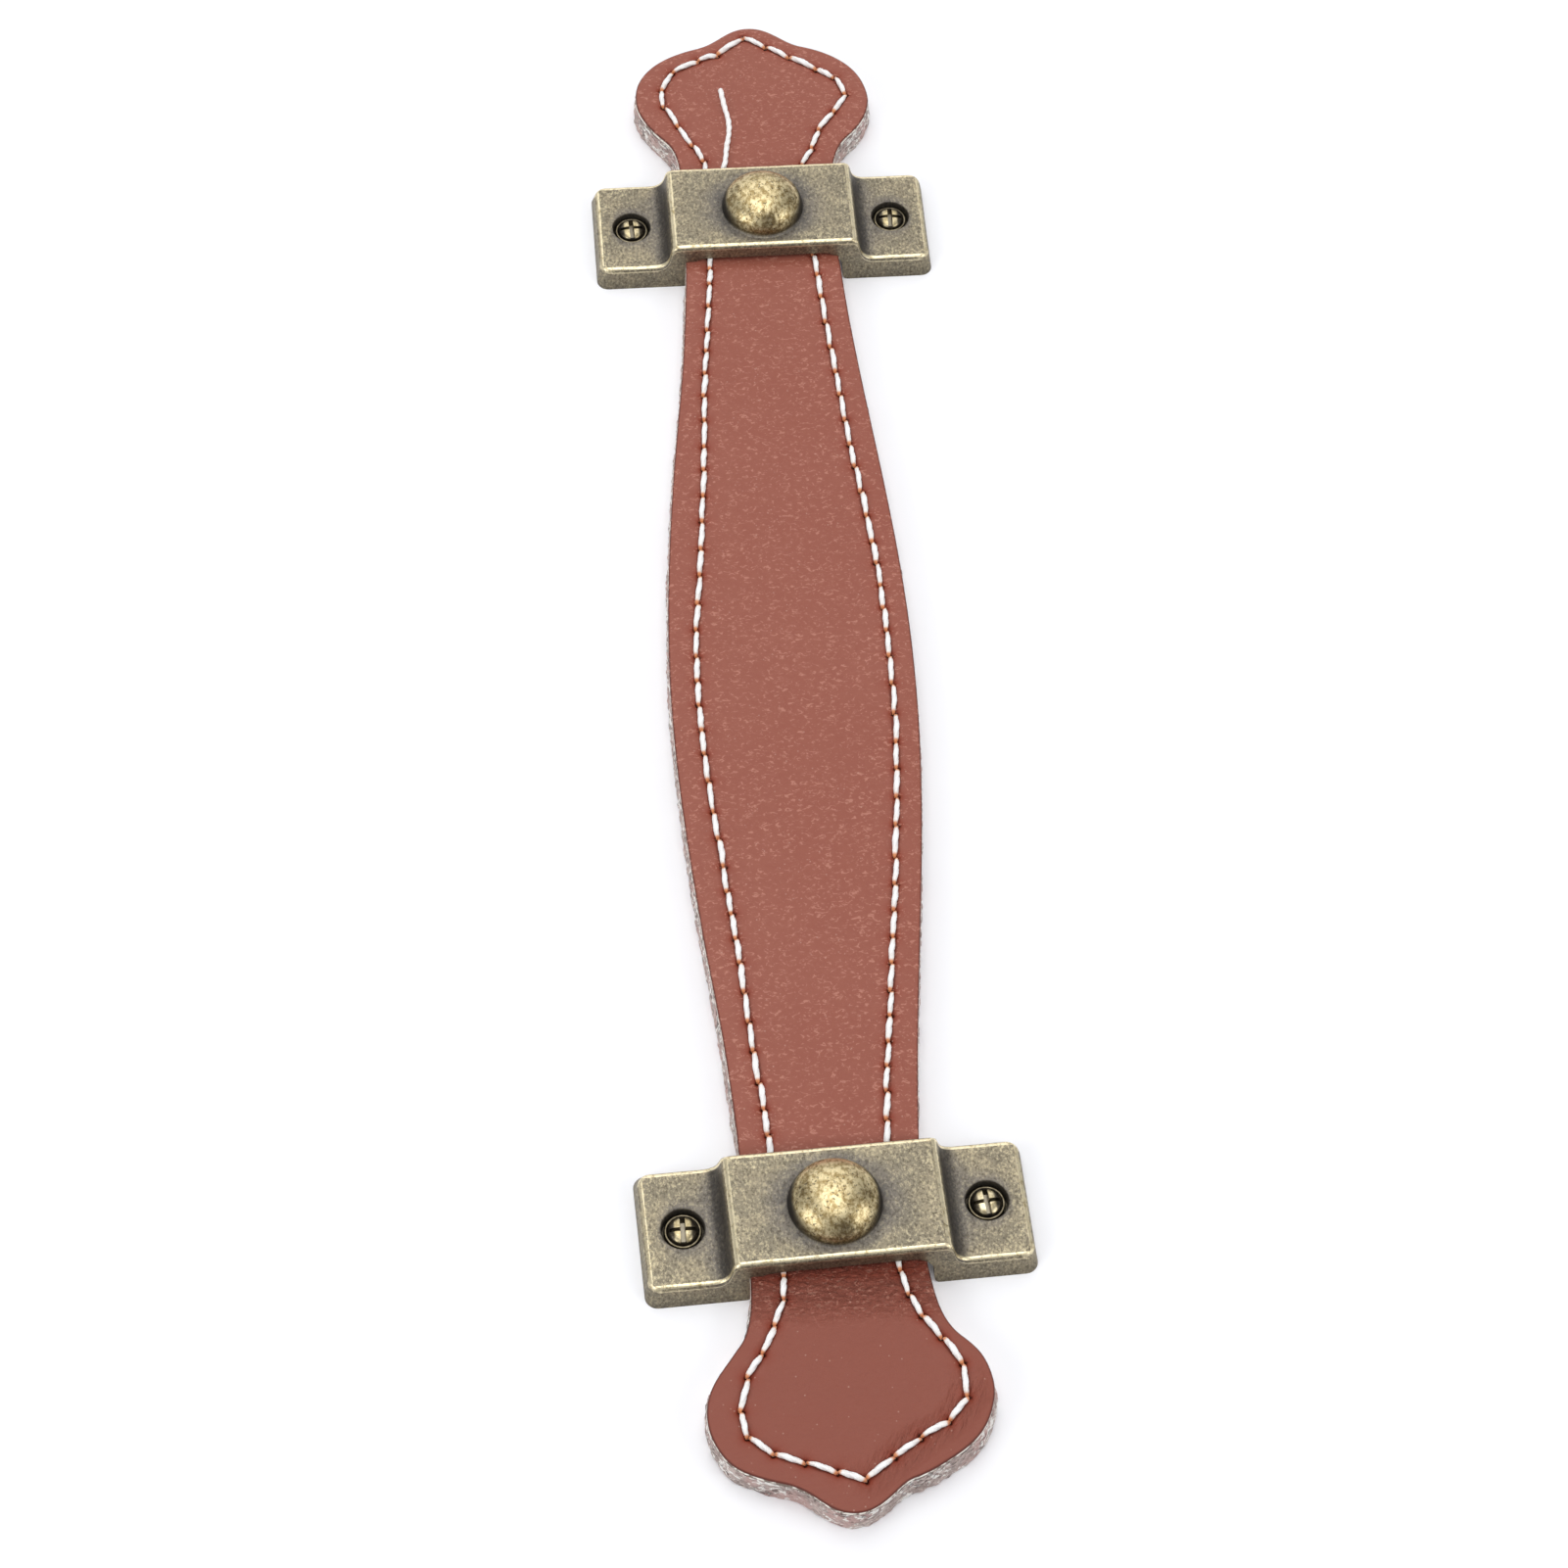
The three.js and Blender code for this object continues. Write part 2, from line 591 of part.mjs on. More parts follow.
// Head above z = 0, shank and point below it
function screw() {
  const shank = SCREW_DIAMETER / 2;
  const head = HEAD_DIAMETER / 2;
  const profile = [
    new THREE.Vector2(0, -SCREW_LENGTH),
    new THREE.Vector2(shank, SCREW_POINT_LENGTH - SCREW_LENGTH),
    new THREE.Vector2(shank, 0),
    new THREE.Vector2(head, 0),
    new THREE.Vector2(head, HEAD_RIM_HEIGHT),
  ];
  const crown = HEAD_HEIGHT - HEAD_RIM_HEIGHT;
  for (let step = 1; step <= ROUNDING_STEPS; step += 1) {
    const turn = (Math.PI / 2) * (step / (ROUNDING_STEPS + 1));
    profile.push(new THREE.Vector2(head * Math.cos(turn), HEAD_RIM_HEIGHT + crown * Math.sin(turn)));
  }
  profile.push(new THREE.Vector2(0, HEAD_HEIGHT));
  const recess = recessBlade(0).add(recessBlade(Math.PI / 2));
  return toGeometry(revolve(profile, SCREW_SEGMENTS).subtract(recess));
}

// Materials
function material(color, roughness, metalness) {
  return new THREE.MeshStandardMaterial({ color, roughness, metalness });
}

const tanLeather = material(0x9c6252, 0.5, 0);
const fibreBoard = material(0xa8958e, 0.95, 0);
const whiteThread = material(0xece6e0, 0.7, 0);
const antiqueBrass = material(0x7a6d57, 0.42, 0.85);
const darkBronze = material(0x3d352b, 0.35, 0.9);

function part(name, geometry, look) {
  const mesh = new THREE.Mesh(geometry, look);
  mesh.name = name;
  return mesh;
}

// Assembly
function strapGroup() {
  const outline = allRound(outlineQuarter());
  const seam = seamLine();
  const group = new THREE.Group();
  group.add(part('face_leather', facing(outline, seam), tanLeather));
  group.add(part('fibre_backing', backing(outline, seam), fibreBoard));
  group.add(part('needle_thread', toGeometry(needleThreadSolid(seam)), whiteThread));
  group.add(part('bobbin_thread', bobbinThread(seam), whiteThread));
  return group;
}

function bracketGroup(name, x, y, turn) {
  const group = new THREE.Group();
  group.add(part(`${name}_bracket`, bracket(), antiqueBrass));
  for (const [side, sign] of [['left', -1], ['right', 1]]) {
    const piece = part(`screw_${name}_${side}`, screw(), darkBronze);
    piece.position.set(sign * SCREW_X, 0, SCREW_SEAT);
    group.add(piece);
  }
  group.position.set(x, y, 0);
  group.rotation.z = turn;
  return group;
}

const cabinetPull = new THREE.Group();
cabinetPull.add(strapGroup());
const upperY = TIP_Y - UPPER_BRACKET_FROM_TIP;
const lowerY = LOWER_BRACKET_FROM_TIP - TIP_Y;
cabinetPull.add(bracketGroup('upper', BRACKET_OFFSET, upperY, UPPER_BRACKET_TURN));
cabinetPull.add(bracketGroup('lower', BRACKET_OFFSET, lowerY, LOWER_BRACKET_TURN));

export default cabinetPull;
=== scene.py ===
"""Looks of a leather cabinet pull: a stitched strap under two cast brackets with four wood screws.

Lengths are millimetres in the part's own frame, +Y along the strap, until a mesh is made in metres.
"""
import math

import bpy
import numpy as np
from mathutils import Matrix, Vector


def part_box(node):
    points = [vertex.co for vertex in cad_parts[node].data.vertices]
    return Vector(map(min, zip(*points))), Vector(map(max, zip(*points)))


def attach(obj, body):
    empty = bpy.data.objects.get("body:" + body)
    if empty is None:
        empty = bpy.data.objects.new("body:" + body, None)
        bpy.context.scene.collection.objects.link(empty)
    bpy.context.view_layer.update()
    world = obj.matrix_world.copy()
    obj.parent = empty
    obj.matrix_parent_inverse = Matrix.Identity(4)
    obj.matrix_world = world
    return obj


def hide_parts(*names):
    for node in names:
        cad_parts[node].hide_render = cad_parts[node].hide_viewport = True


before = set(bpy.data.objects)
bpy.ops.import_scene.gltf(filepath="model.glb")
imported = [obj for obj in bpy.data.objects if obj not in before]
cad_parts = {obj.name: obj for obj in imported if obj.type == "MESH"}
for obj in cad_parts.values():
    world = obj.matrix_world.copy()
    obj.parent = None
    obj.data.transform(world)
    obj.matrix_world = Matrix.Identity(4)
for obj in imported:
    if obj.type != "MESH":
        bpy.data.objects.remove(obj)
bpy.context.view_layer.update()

MM = 0.001
UP = np.array([0.0, 0.0, 1.0])

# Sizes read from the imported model
LOBE_HALF, TIP, TOP = np.array(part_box("face_leather")[1]) / MM
BOARD_TOP = np.array(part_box("fibre_backing")[1])[2] / MM

# Strap outline, as the solid has it
BELLY_HALF = 18.0
NECK_HALF = 12.0
NECK_DROP = 37.6
NECK_END = TIP - NECK_DROP
LOBE_SPINE_END = TIP - 17.0
FACING_ROUND = 0.4
BOARD_FLARE = 0.22

# Relief of the facing, and of the board's cut side: height or depth, and for a wave its length too
EDGE_SWELL = 0.09
SEAM_LIP = 0.07
HOLE_DIMPLE = 0.08
LONG_WAVE = (0.03, 34)
SHORT_WAVE = (0.01, 9)
FINE_ROUGHNESS = 0.08
BROAD_ROUGHNESS = 0.05
CREVICE = 0.15
FOOT_WEAR = 0.12

# From neck to tip: half width, distance from the tip, heading in degrees, and handles in and out
OUTLINE_KNOTS = (
    (NECK_HALF, NECK_DROP, 90, 0, 6.4), (14.8, 24.3, 46.5, 3.2, 5.1),
    (LOBE_HALF, 15.9, 90, 1.5, 7.0), (8.6, 4.5, 164, 4.8, 3.5), (0, 0, 180, 3.8, 0),
)

# How the hand-cut outline leaves the symmetric one, as (y, shift) pairs
SIDEWAYS = (
    (-127.4, 0), (-126.5, -0.25), (-125.7, -0.7), (-124.8, -1.3), (-123.6, -1.2), (-121.6, -0.55),
    (-119.8, -0.2), (-117.7, 0.05), (-115.4, 0.35), (-113.2, 0.67), (-111.1, 0.93), (-109.2, 1.3),
    (-107.6, 1.35), (-105.2, 0.87), (-103, 0.62), (-99, 0.35), (-92, 0), (95, 0), (100.6, 0.1),
    (104, 0.3), (107, 0.42), (109.5, 0.45), (112, 0.33), (115, 0.2), (118, 0), (124, 0), (127, 0.4),
)
LENGTHWAYS = ((112, 0), (118, 0.3), (126, 0.45), (129, 0.25), (130.5, 0.15))
LEFT_FULLNESS = ((-60, 0), (-45, 0.3), (0, 0.35), (40, 0.3), (60, 0))

# Needle holes, anticlockwise from the upper tip. On the belly a side's holes are given by height,
# and lie on the plain seam line but for a drift
SEAM_INSET = 3.9
UPPER_LEFT_HOLES = (
    (-0.5, 128.4), (-5.0, 124.7), (-8.2, 123.5), (-12.6, 121.1), (-14.5, 117.1), (-14.2, 113.5),
    (-12.1, 109.2), (-9.9, 105.0), (-8.3, 101.6),
)
LEFT_HOLES = (
    97.0, 92.5, 88.0, 83.5, 78.9, 75.9, 71.3, 66.4, 62.3, 57.8, 53.4, 48.6, 43.4, 39.1, 34.1, 29.3,
    24.1, 19.3, 14.1, 9.3, 4.5, 0.1, -4.2, -8.6, -12.7, -17.4, -22.8, -27.3, -32.0, -36.2, -39.9,
    -44.0, -47.9, -52.7, -57.5, -62.1, -67.1, -71.3, -75.3, -79.5, -83.8, -88.0, -92.2,
)
LEFT_DRIFT = (
    (48, -0.1), (38, -0.55), (26, -0.62), (18, -0.5), (10, 0.05), (-4, 0.15), (-15, -0.05),
    (-30, -0.4), (-48, -0.4), (-60, -0.08), (-75, -0.4), (-92, -0.6), (54, 0.3), (66, 0.25),
    (79, 0.05), (97, -0.1),
)
LOWER_HOLES = (
    (-7.3, -96.5), (-7.5, -99.9), (-9.0, -103.7), (-10.9, -107.7), (-13.0, -111.0), (-14.2, -115.8),
    (-13.4, -119.4), (-10.1, -121.9), (-6.1, -123.3), (-2.0, -124.8), (1.6, -126.0), (5.5, -123.0),
    (9.2, -120.5), (13.1, -118.4), (15.8, -115.1), (15.6, -110.3), (13.2, -106.5), (10.8, -103.2),
    (9.3, -100.0), (8.4, -96.3),
)
RIGHT_HOLES = (
    -91.7, -87.2, -82.7, -78.2, -73.6, -69.2, -65.3, -61.5, -57.4, -53.4, -48.9, -44.7, -40.3,
    -36.0, -31.5, -26.1, -21.3, -16.4, -11.8, -6.8, -1.5, 3.5, 8.1, 12.2, 16.3, 20.5, 24.4, 29.4,
    34.0, 38.9, 43.1, 47.9, 52.9, 57.4, 62.3, 67.4, 72.6, 77.1, 81.7, 86.3, 90.9, 95.6,
)
RIGHT_DRIFT = (
    (-92, -0.2), (-74, -0.5), (-65, -0.4), (-57, -0.12), (-45, 0.03), (-25, 0.1), (-16, 0.33),
    (12, 0.33), (20, 0.35), (29, 0.12), (43, -0.15), (57, 0.03), (77, 0), (95, -0.7),
)
UPPER_RIGHT_HOLES = (
    (7.4, 100.2), (9.3, 103.7), (10.6, 107.6), (13.3, 111.5), (15.6, 115.3), (14.0, 119.1),
    (11.2, 121.0), (6.8, 123.8), (3.1, 126.2),
)

# Thread and the marks that it leaves
THREAD_RADIUS = 0.46
PINCHED_SHARE = 0.46
STITCH_SLANT = 0.13
SEAM_VALLEY = 0.16
MARK_ACROSS = 0.6
MARK_ALONG = 0.33
MARK_DEPTH = 0.4
PRESSED = 0.55
PRESSED_AT = (89.9, -86.9)
PRESS_EASE = (11.4, 8.3)
TAIL_ROUTE = (
    (-8.1, 95.1), (-7.3, 96.7), (-6.1, 98.4), (-5.0, 100.6), (-4.5, 104.2), (-4.0, 107.0),
    (-3.9, 109.7), (-4.4, 112.9), (-4.9, 116.6),
)

# Bracket
BRACKET_DEPTH = 19.9
BRIDGE_HALF = 14.6
STEP_FOOT = 15.6
BRACKET_HALF = 26.8
EAR_TOP = 3.2
CHANNEL_HALF = 12.4
CHANNEL_TOP = 4.95
CHANNEL_ROUND = 3.3
FOOT_ROUND = 0.8
BRIDGE_TOP = 7.3
FOOT_FLARE = 0.44
FOOT_FLARE_HEIGHT = 2.4
DRAFT = 0.1
END_DRAFT = 0.18
EDGE_ROUND = 0.75
STEP_FILLET = 2.0
SHOULDER_ROUND = 1.15
PLAN_ROUND = 1.8
BOSS_RADIUS = 6.3
BOSS_HEIGHT = 4.3
BOSS_FILLET = 0.45

# Name, turn on the strap, boss off the middle, and turns of the left and right screw head
BRACKETS = (
    ("upper", math.radians(1.2), (0.1, -0.4), (0.05, -0.04)),
    ("lower", math.radians(3.2), (-0.25, -0.35), (-0.03, 0.06)),
)

# Dark spots on the boss, tarnish together with painted dark reflections of the surroundings: place
# off its middle, stretch, size and share
TARNISH_AND_REFLECTION = (
    (0.6, -5.0, 1.1, 1.6, 0.85), (3.9, -0.6, 1, 1.6, 0.6), (-4.4, 0.9, 1, 1.4, 0.6),
    (2.6, 2.6, 1, 1.5, 0.4),
)

# Screws
SCREW_X = 20.8
SCREW_SEAT = 0.9
HEAD_RADIUS = 2.6
HEAD_HEIGHT = 2.3
HEAD_RIM = 1.55
CROWN_RADIUS = 2.1
HOLE_RADIUS = 1.65
COUNTERBORE_RADIUS = 2.95
COUNTERBORE_MOUTH = 0.3
SCREW_RADIUS = 1.5
SCREW_CORE = 1.05
SCREW_LENGTH = 12.0
SCREW_PITCH = 1.25
SCREW_NECK = 2.5
SCREW_POINT = 3.0
RECESS_DEPTH = 1.3

# Where the leather's painted shade, painted crease highlights and creases set in along the strap
# and across it, in metres: none, then full
LOBE_PAINTED_SHADE = (-0.082, -0.094)
NECK_PAINTED_SHADE = ((-0.0987, -0.0962), (-0.09, -0.095))
CREASE_HIGHLIGHT = (-0.1055, -0.0995)
NECK_CREASES = ((-0.105, -0.098), (-0.09, -0.096))
LOBE_CREASES = ((-0.11, -0.115), (-0.004, 0.006))

random = np.random.default_rng(7)


# Meshes

def grid_quads(rows, columns, wrap_rows=False, wrap_columns=True):
    """Quads over a grid of points stored row after row."""
    row = np.arange(rows if wrap_rows else rows - 1)[:, None]
    column = np.arange(columns if wrap_columns else columns - 1)
    near, far = row * columns, (row + 1) % rows * columns
    after = (column + 1) % columns
    return np.stack([near + column, near + after, far + after, far + column], -1).reshape(-1, 4)


def tube_faces(tubes, steps, sides, before=0):
    """Walls and end caps of many tubes stored one after another, after `before` other points."""
    wall = grid_quads(steps, sides)
    first = np.arange(sides)[::-1]
    last = np.arange(sides) + (steps - 1) * sides
    faces = []
    for tube in range(tubes):
        shift = before + tube * steps * sides
        faces.extend((wall + shift).tolist())
        faces.append((first + shift).tolist())
        faces.append((last + shift).tolist())
    return faces


def weld(points, quads):
    """Merges points that share a place. A quad that lost a side becomes a triangle or goes."""
    places = np.round(points, 4)
    _, first, merged = np.unique(places, axis=0, return_index=True, return_inverse=True)
    quads = merged.reshape(-1)[quads]
    same = quads == np.roll(quads, -1, axis=1)
    whole = quads[same.sum(1) == 0].tolist()
    pinched = quads[same.sum(1) == 1]
    keep = ~same[same.sum(1) == 1]
    triangles = pinched[keep].reshape(-1, 3)
    distinct = (triangles[:, 0] != triangles[:, 1]) & (triangles[:, 1] != triangles[:, 2])
    distinct &= triangles[:, 0] != triangles[:, 2]
    return points[first], whole + triangles[distinct].tolist(), first


def store(mesh, marks):
    """Keeps named values on a mesh's vertices."""
    for key, values in marks.items():
        layer = mesh.attributes.new(key, "FLOAT", "POINT")
        layer.data.foreach_set("value", np.asarray(values, dtype=np.float32).ravel())


def in_scene(name, data):
    item = bpy.data.objects.new(name, data)
    bpy.context.scene.collection.objects.link(item)
    return item


def new_piece(name, points, faces, marks=None):
    """A smooth-shaded mesh object from points in millimetres, with named values on its vertices."""
    mesh = bpy.data.meshes.new(name)
    faces = faces.tolist() if isinstance(faces, np.ndarray) else faces
    mesh.from_pydata((points * MM).tolist(), [], faces)
    mesh.shade_smooth()
    store(mesh, marks or {})
    return in_scene(name, mesh)


def mesh_points(mesh):
    flat = np.zeros(len(mesh.vertices) * 3, np.float32)
    mesh.vertices.foreach_get("co", flat)
    return flat.reshape(-1, 3) / MM


def lifted(plan, height):
    """Plan points with a height, one for all of them or one each."""
    return np.concatenate([plan, np.broadcast_to(height, plan.shape[:-1])[..., None]], -1)


def unit(vectors):
    return vectors / np.linalg.norm(vectors, axis=-1, keepdims=True)


def square_to(ways):
    """Two directions at right angles to each given one, the first of them level."""
    across = unit(np.cross(UP, ways))
    return across, np.cross(ways, across)


def revolved(radius, height, segments):
    """Turns a profile about Z, from axis to axis. A row has one radius or one for each segment."""
    turn = np.linspace(0, 2 * np.pi, segments, endpoint=False)
    radius = np.reshape(radius, (len(height), -1))
    plan = np.stack([radius * np.cos(turn), radius * np.sin(turn)], -1)
    points = lifted(plan, height[:, None]).reshape(-1, 3)
    return weld(points, grid_quads(len(height), segments))[:2]


def quarter_round(start, end, count):
    """A quarter ellipse of (radius, height) pairs that leaves its start upright."""
    angle = np.linspace(0, np.pi / 2, count)[:, None]
    share = np.concatenate([1 - np.cos(angle), np.sin(angle)], 1)
    return np.array(start) + (np.array(end) - start) * share


def rounded_drop(gap, radius):
    """How far a quarter-round edge has fallen at the given distance in from its side."""
    inside = radius - np.clip(gap, 0, radius)
    return radius - np.sqrt(np.maximum(radius ** 2 - inside ** 2, 0))


def by_chunk(points, measure, size=3000):
    """Measures the points a few thousand at a time, to save memory."""
    parts = [measure(points[low:low + size, None]) for low in range(0, len(points), size)]
    return np.concatenate(parts, -1)


def bell(distance, width):
    """A Gaussian, one at no distance."""
    return np.exp(-(distance / width) ** 2)


def smooth_step(low, high, value):
    t = np.clip((value - low) / (high - low), 0, 1)
    return t * t * (3 - 2 * t)


def soft_noise(shape, cell, seed):
    """Seeded noise on a grid, smoothed over about `cell` samples each way, with a spread of one."""
    field = np.random.default_rng(seed).normal(size=shape)
    for axis, width in enumerate(cell):
        gain = np.exp(-2 * (np.pi * np.fft.fftfreq(shape[axis]) * width / 2) ** 2)
        spectrum = np.fft.fft(field, axis=axis) * np.expand_dims(gain, 1 - axis)
        field = np.fft.ifft(spectrum, axis=axis).real
    return field / field.std()


def waves(x, y, seed, length, count=7):
    """A smooth hill-and-dale height over the plan: a few seeded sines of about the given length."""
    draw = np.random.default_rng(seed)
    total = np.zeros_like(x)
    for _ in range(count):
        way = draw.uniform(0, 2 * np.pi)
        size = length * draw.uniform(0.7, 1.6)
        phase = draw.uniform(0, 2 * np.pi)
        total += np.sin((x * np.cos(way) + y * np.sin(way)) * 2 * np.pi / size + phase)
    return total / math.sqrt(count)


def eased(value, pairs):
    """Reads a table of (place, value) pairs in straight lines, averaged over 1.2 mm either way."""
    table = np.array(sorted(pairs)).T
    shifts = np.linspace(-1.2, 1.2, 5)
    return np.mean([np.interp(value + shift, *table) for shift in shifts], axis=0)


# Curves in the plan

def bezier(a, b, c, d, steps):
    t = np.linspace(0, 1, steps)[:, None]
    a, b, c, d = (np.asarray(p, float) for p in (a, b, c, d))
    return (1 - t) ** 3 * a + 3 * (1 - t) ** 2 * t * b + 3 * (1 - t) * t * t * c + t ** 3 * d


def resample(points, count):
    """The same open line with evenly spaced points."""
    run = np.hypot(*np.diff(points, axis=0).T)
    distance = np.concatenate([[0], np.cumsum(run)])
    even = np.linspace(0, distance[-1], count)
    return np.stack([np.interp(even, distance, points[:, i]) for i in (0, 1)], -1)


def smooth_line(points, steps):
    """A Catmull-Rom curve through the points."""
    padded = np.concatenate([2 * points[:1] - points[1:2], points, 2 * points[-1:] - points[-2:-1]])
    place = np.linspace(0, len(points) - 1 - 1e-9, steps)
    i = place.astype(int)
    u = (place - i)[:, None]
    p0, p1, p2, p3 = padded[i], padded[i + 1], padded[i + 2], padded[i + 3]
    bend = 2 * p0 - 5 * p1 + 4 * p2 - p3
    return 0.5 * (2 * p1 + (p2 - p0) * u + bend * u ** 2 + (3 * p1 - p0 - 3 * p2 + p3) * u ** 3)


def body_half_width(y):
    """Raised cosine from the belly to the neck, and the neck's width beyond it."""
    share = np.minimum(np.abs(y) / NECK_END, 1)
    return NECK_HALF + (BELLY_HALF - NECK_HALF) * (1 + np.cos(np.pi * share)) / 2


def heading(degrees):
    return np.array([math.cos(math.radians(degrees)), math.sin(math.radians(degrees))])


def edge_quarter():
    """Strap edge from the middle of its right side to the upper tip: body, flare and ogee."""
    y = np.linspace(0, NECK_END, 400)
    pieces = [np.stack([body_half_width(y), y], -1)]
    for knot, after in zip(OUTLINE_KNOTS, OUTLINE_KNOTS[1:]):
        start, end = (np.array([half, TIP - drop]) for half, drop, *_ in (knot, after))
        handles = start + knot[4] * heading(knot[2]), end - after[3] * heading(after[2])
        pieces.append(bezier(start, *handles, end, 60)[1:])
    return np.concatenate(pieces)


def all_round(quarter):
    """A quarter mirrored left and down, anticlockwise from the middle of the right side."""
    left = (quarter * [-1, 1])[::-1][1:]
    upper = np.concatenate([quarter, left])
    lower = (upper * [1, -1])[::-1][1:-1]
    return np.concatenate([upper, lower])


def hand_cut(points):
    """Moves plan points from the solid's symmetric outline to the uneven one of the cut strap."""
    x, y = points.T
    fuller = np.where(x < 0, eased(y, LEFT_FULLNESS) * x / body_half_width(y), 0)
    return np.stack([x + eased(y, SIDEWAYS) + fuller, y + eased(y, LENGTHWAYS)], -1)


def belly_holes(heights, side, drift):
    """Holes of one side at the given heights: the half width less the inset, plus a drift."""
    y = np.array(heights)
    return np.stack([side * (body_half_width(y) - SEAM_INSET + eased(y, drift)), y], -1)


class Seam:
    """The closed seam, straight from one needle hole to the next."""

    STEPS = 8

    def __init__(self):
        self.hole_points = np.concatenate([
            UPPER_LEFT_HOLES,
            belly_holes(LEFT_HOLES, -1, LEFT_DRIFT),
            LOWER_HOLES,
            belly_holes(RIGHT_HOLES, 1, RIGHT_DRIFT),
            UPPER_RIGHT_HOLES,
        ])
        self.count = len(self.hole_points)
        after = np.roll(self.hole_points, -1, axis=0)
        before = np.roll(self.hole_points, 1, axis=0)
        self.hole_ways = unit(after - before)
        share = np.linspace(0, 1, self.STEPS, endpoint=False)[None, :, None]
        line = self.hole_points[:, None] * (1 - share) + after[:, None] * share
        self.points = line.reshape(-1, 2)

    def crossings(self, start, end):
        """Share of each line from start to end at which it first crosses the seam.

        Where start + t (end - start) = hole + u (next hole - hole), t and u are ratios of cross
        products.
        """
        line = (end - start)[:, None]
        chord = (np.roll(self.hole_points, -1, axis=0) - self.hole_points)[None]
        gap = self.hole_points[None] - start[:, None]
        across = cross_product(line, chord)
        across = np.where(np.abs(across) < 1e-9, 1e-9, across)
        t = cross_product(gap, chord) / across
        u = cross_product(gap, line) / across
        met = (u >= -1e-6) & (u <= 1 + 1e-6) & (t > 0) & (t < 1)
        return np.where(met, t, np.inf).min(1)


def cross_product(a, b):
    return a[..., 0] * b[..., 1] - a[..., 1] * b[..., 0]


def distance_to(points, line):
    """Distance of each plan point from a closed line."""
    step = np.roll(line, -1, axis=0) - line
    size = (step ** 2).sum(1)

    def nearest(part):
        offset = part - line
        share = np.clip((offset * step).sum(-1) / size, 0, 1)
        return np.linalg.norm(offset - share[..., None] * step, axis=-1).min(1)

    return by_chunk(points, nearest)


def needle_marks(points, seam):
    """How deep in the nearest needle mark each plan point is, and how near to a hole, both 0 to 1.

    A mark is a Gaussian well, long across the seam, narrow along it and a little askew. The halo is
    a round Gaussian, and a faint second one lies outside some of the holes.
    """
    draw = np.random.default_rng(19)
    askew = draw.normal(0, 0.22, seam.count)[:, None]
    along = seam.hole_ways * np.cos(askew) + quarter_turned(seam.hole_ways) * np.sin(askew)
    across = quarter_turned(along)
    long = MARK_ACROSS * draw.uniform(0.85, 1.2, seam.count)
    narrow = MARK_ALONG * draw.uniform(0.85, 1.2, seam.count)
    middle = seam.hole_points + draw.normal(0, 0.08, (seam.count, 1)) * across
    second = seam.hole_points - across * draw.uniform(1.0, 1.4, (seam.count, 1))
    faint = 0.55 * draw.uniform(0, 1, seam.count) ** 1.5

    def reading(part):
        a = ((part - middle) * across).sum(-1)
        b = ((part - middle) * along).sum(-1)
        spot = faint * bell(np.linalg.norm(part - second, axis=-1), 0.4)
        halo = np.maximum(spot, bell(np.hypot(a, b), 1.15))
        return np.stack([(bell(a, long) * bell(b, narrow)).max(1), halo.max(1)])

    return by_chunk(points, reading)


def quarter_turned(ways):
    return np.stack([-ways[:, 1], ways[:, 0]], -1)


# Strap

class StrapGrid:
    """Rows of plan points that run round the strap, from its edge in to its spine.

    Each point of the edge is joined by a straight line to the spine, and a row takes one place on
    every line. Rows crowd at the edge and at the seam.
    """

    AROUND = 540
    EDGE_ROWS = np.array([0, 0.04, 0.1, 0.18, 0.28, 0.4, 0.6])
    BETWEEN_SHARES = np.array([0.25, 0.5, 0.75])
    SEAM_ROWS = np.array([
        -1.3, -1.0, -0.78, -0.58, -0.4, -0.2, 0, 0.2, 0.4, 0.58, 0.78, 1.0, 1.3, 1.7,
    ])
    INNER_SHARES = np.array([0.1, 0.22, 0.36, 0.52, 0.68, 0.84, 1])

    def __init__(self, seam):
        quarter = resample(edge_quarter(), self.AROUND)
        spine = np.stack([np.zeros(len(quarter)), np.minimum(quarter[:, 1], LOBE_SPINE_END)], -1)
        self.edge = hand_cut(all_round(quarter))
        self.spine = hand_cut(all_round(spine))
        self.reach = np.linalg.norm(self.edge - self.spine, axis=1)
        self.to_seam = self.reach * seam.crossings(self.edge, self.spine)

    def row(self, inwards):
        """Plan points at the given distance in from the edge along each line."""
        share = (inwards / self.reach)[:, None]
        return self.edge + share * (self.spine - self.edge)

    def rows(self):
        """Distances in from the edge: fixed at the edge and about the seam, in shares between."""
        at_edge = self.EDGE_ROWS[:, None] + 0 * self.reach
        at_seam = self.to_seam + self.SEAM_ROWS[:, None]
        between = at_edge[-1] + self.BETWEEN_SHARES[:, None] * (at_seam[0] - at_edge[-1])
        inner = at_seam[-1] + self.INNER_SHARES[:, None] * (self.reach - at_seam[-1])
        return np.concatenate([at_edge, between, at_seam, inner])


def from_bracket(y):
    """Distance along the strap from the middle of the nearer bracket."""
    return np.min([np.abs(y - place) for place in PRESSED_AT], axis=0)


def pressed(points):
    """Strap points sunk under the brackets, by a share of their height that eases off beyond."""
    share = PRESSED / TOP * smooth_step(*PRESS_EASE, from_bracket(points[..., 1]))
    return lifted(points[..., :2], points[..., 2] * (1 - share))


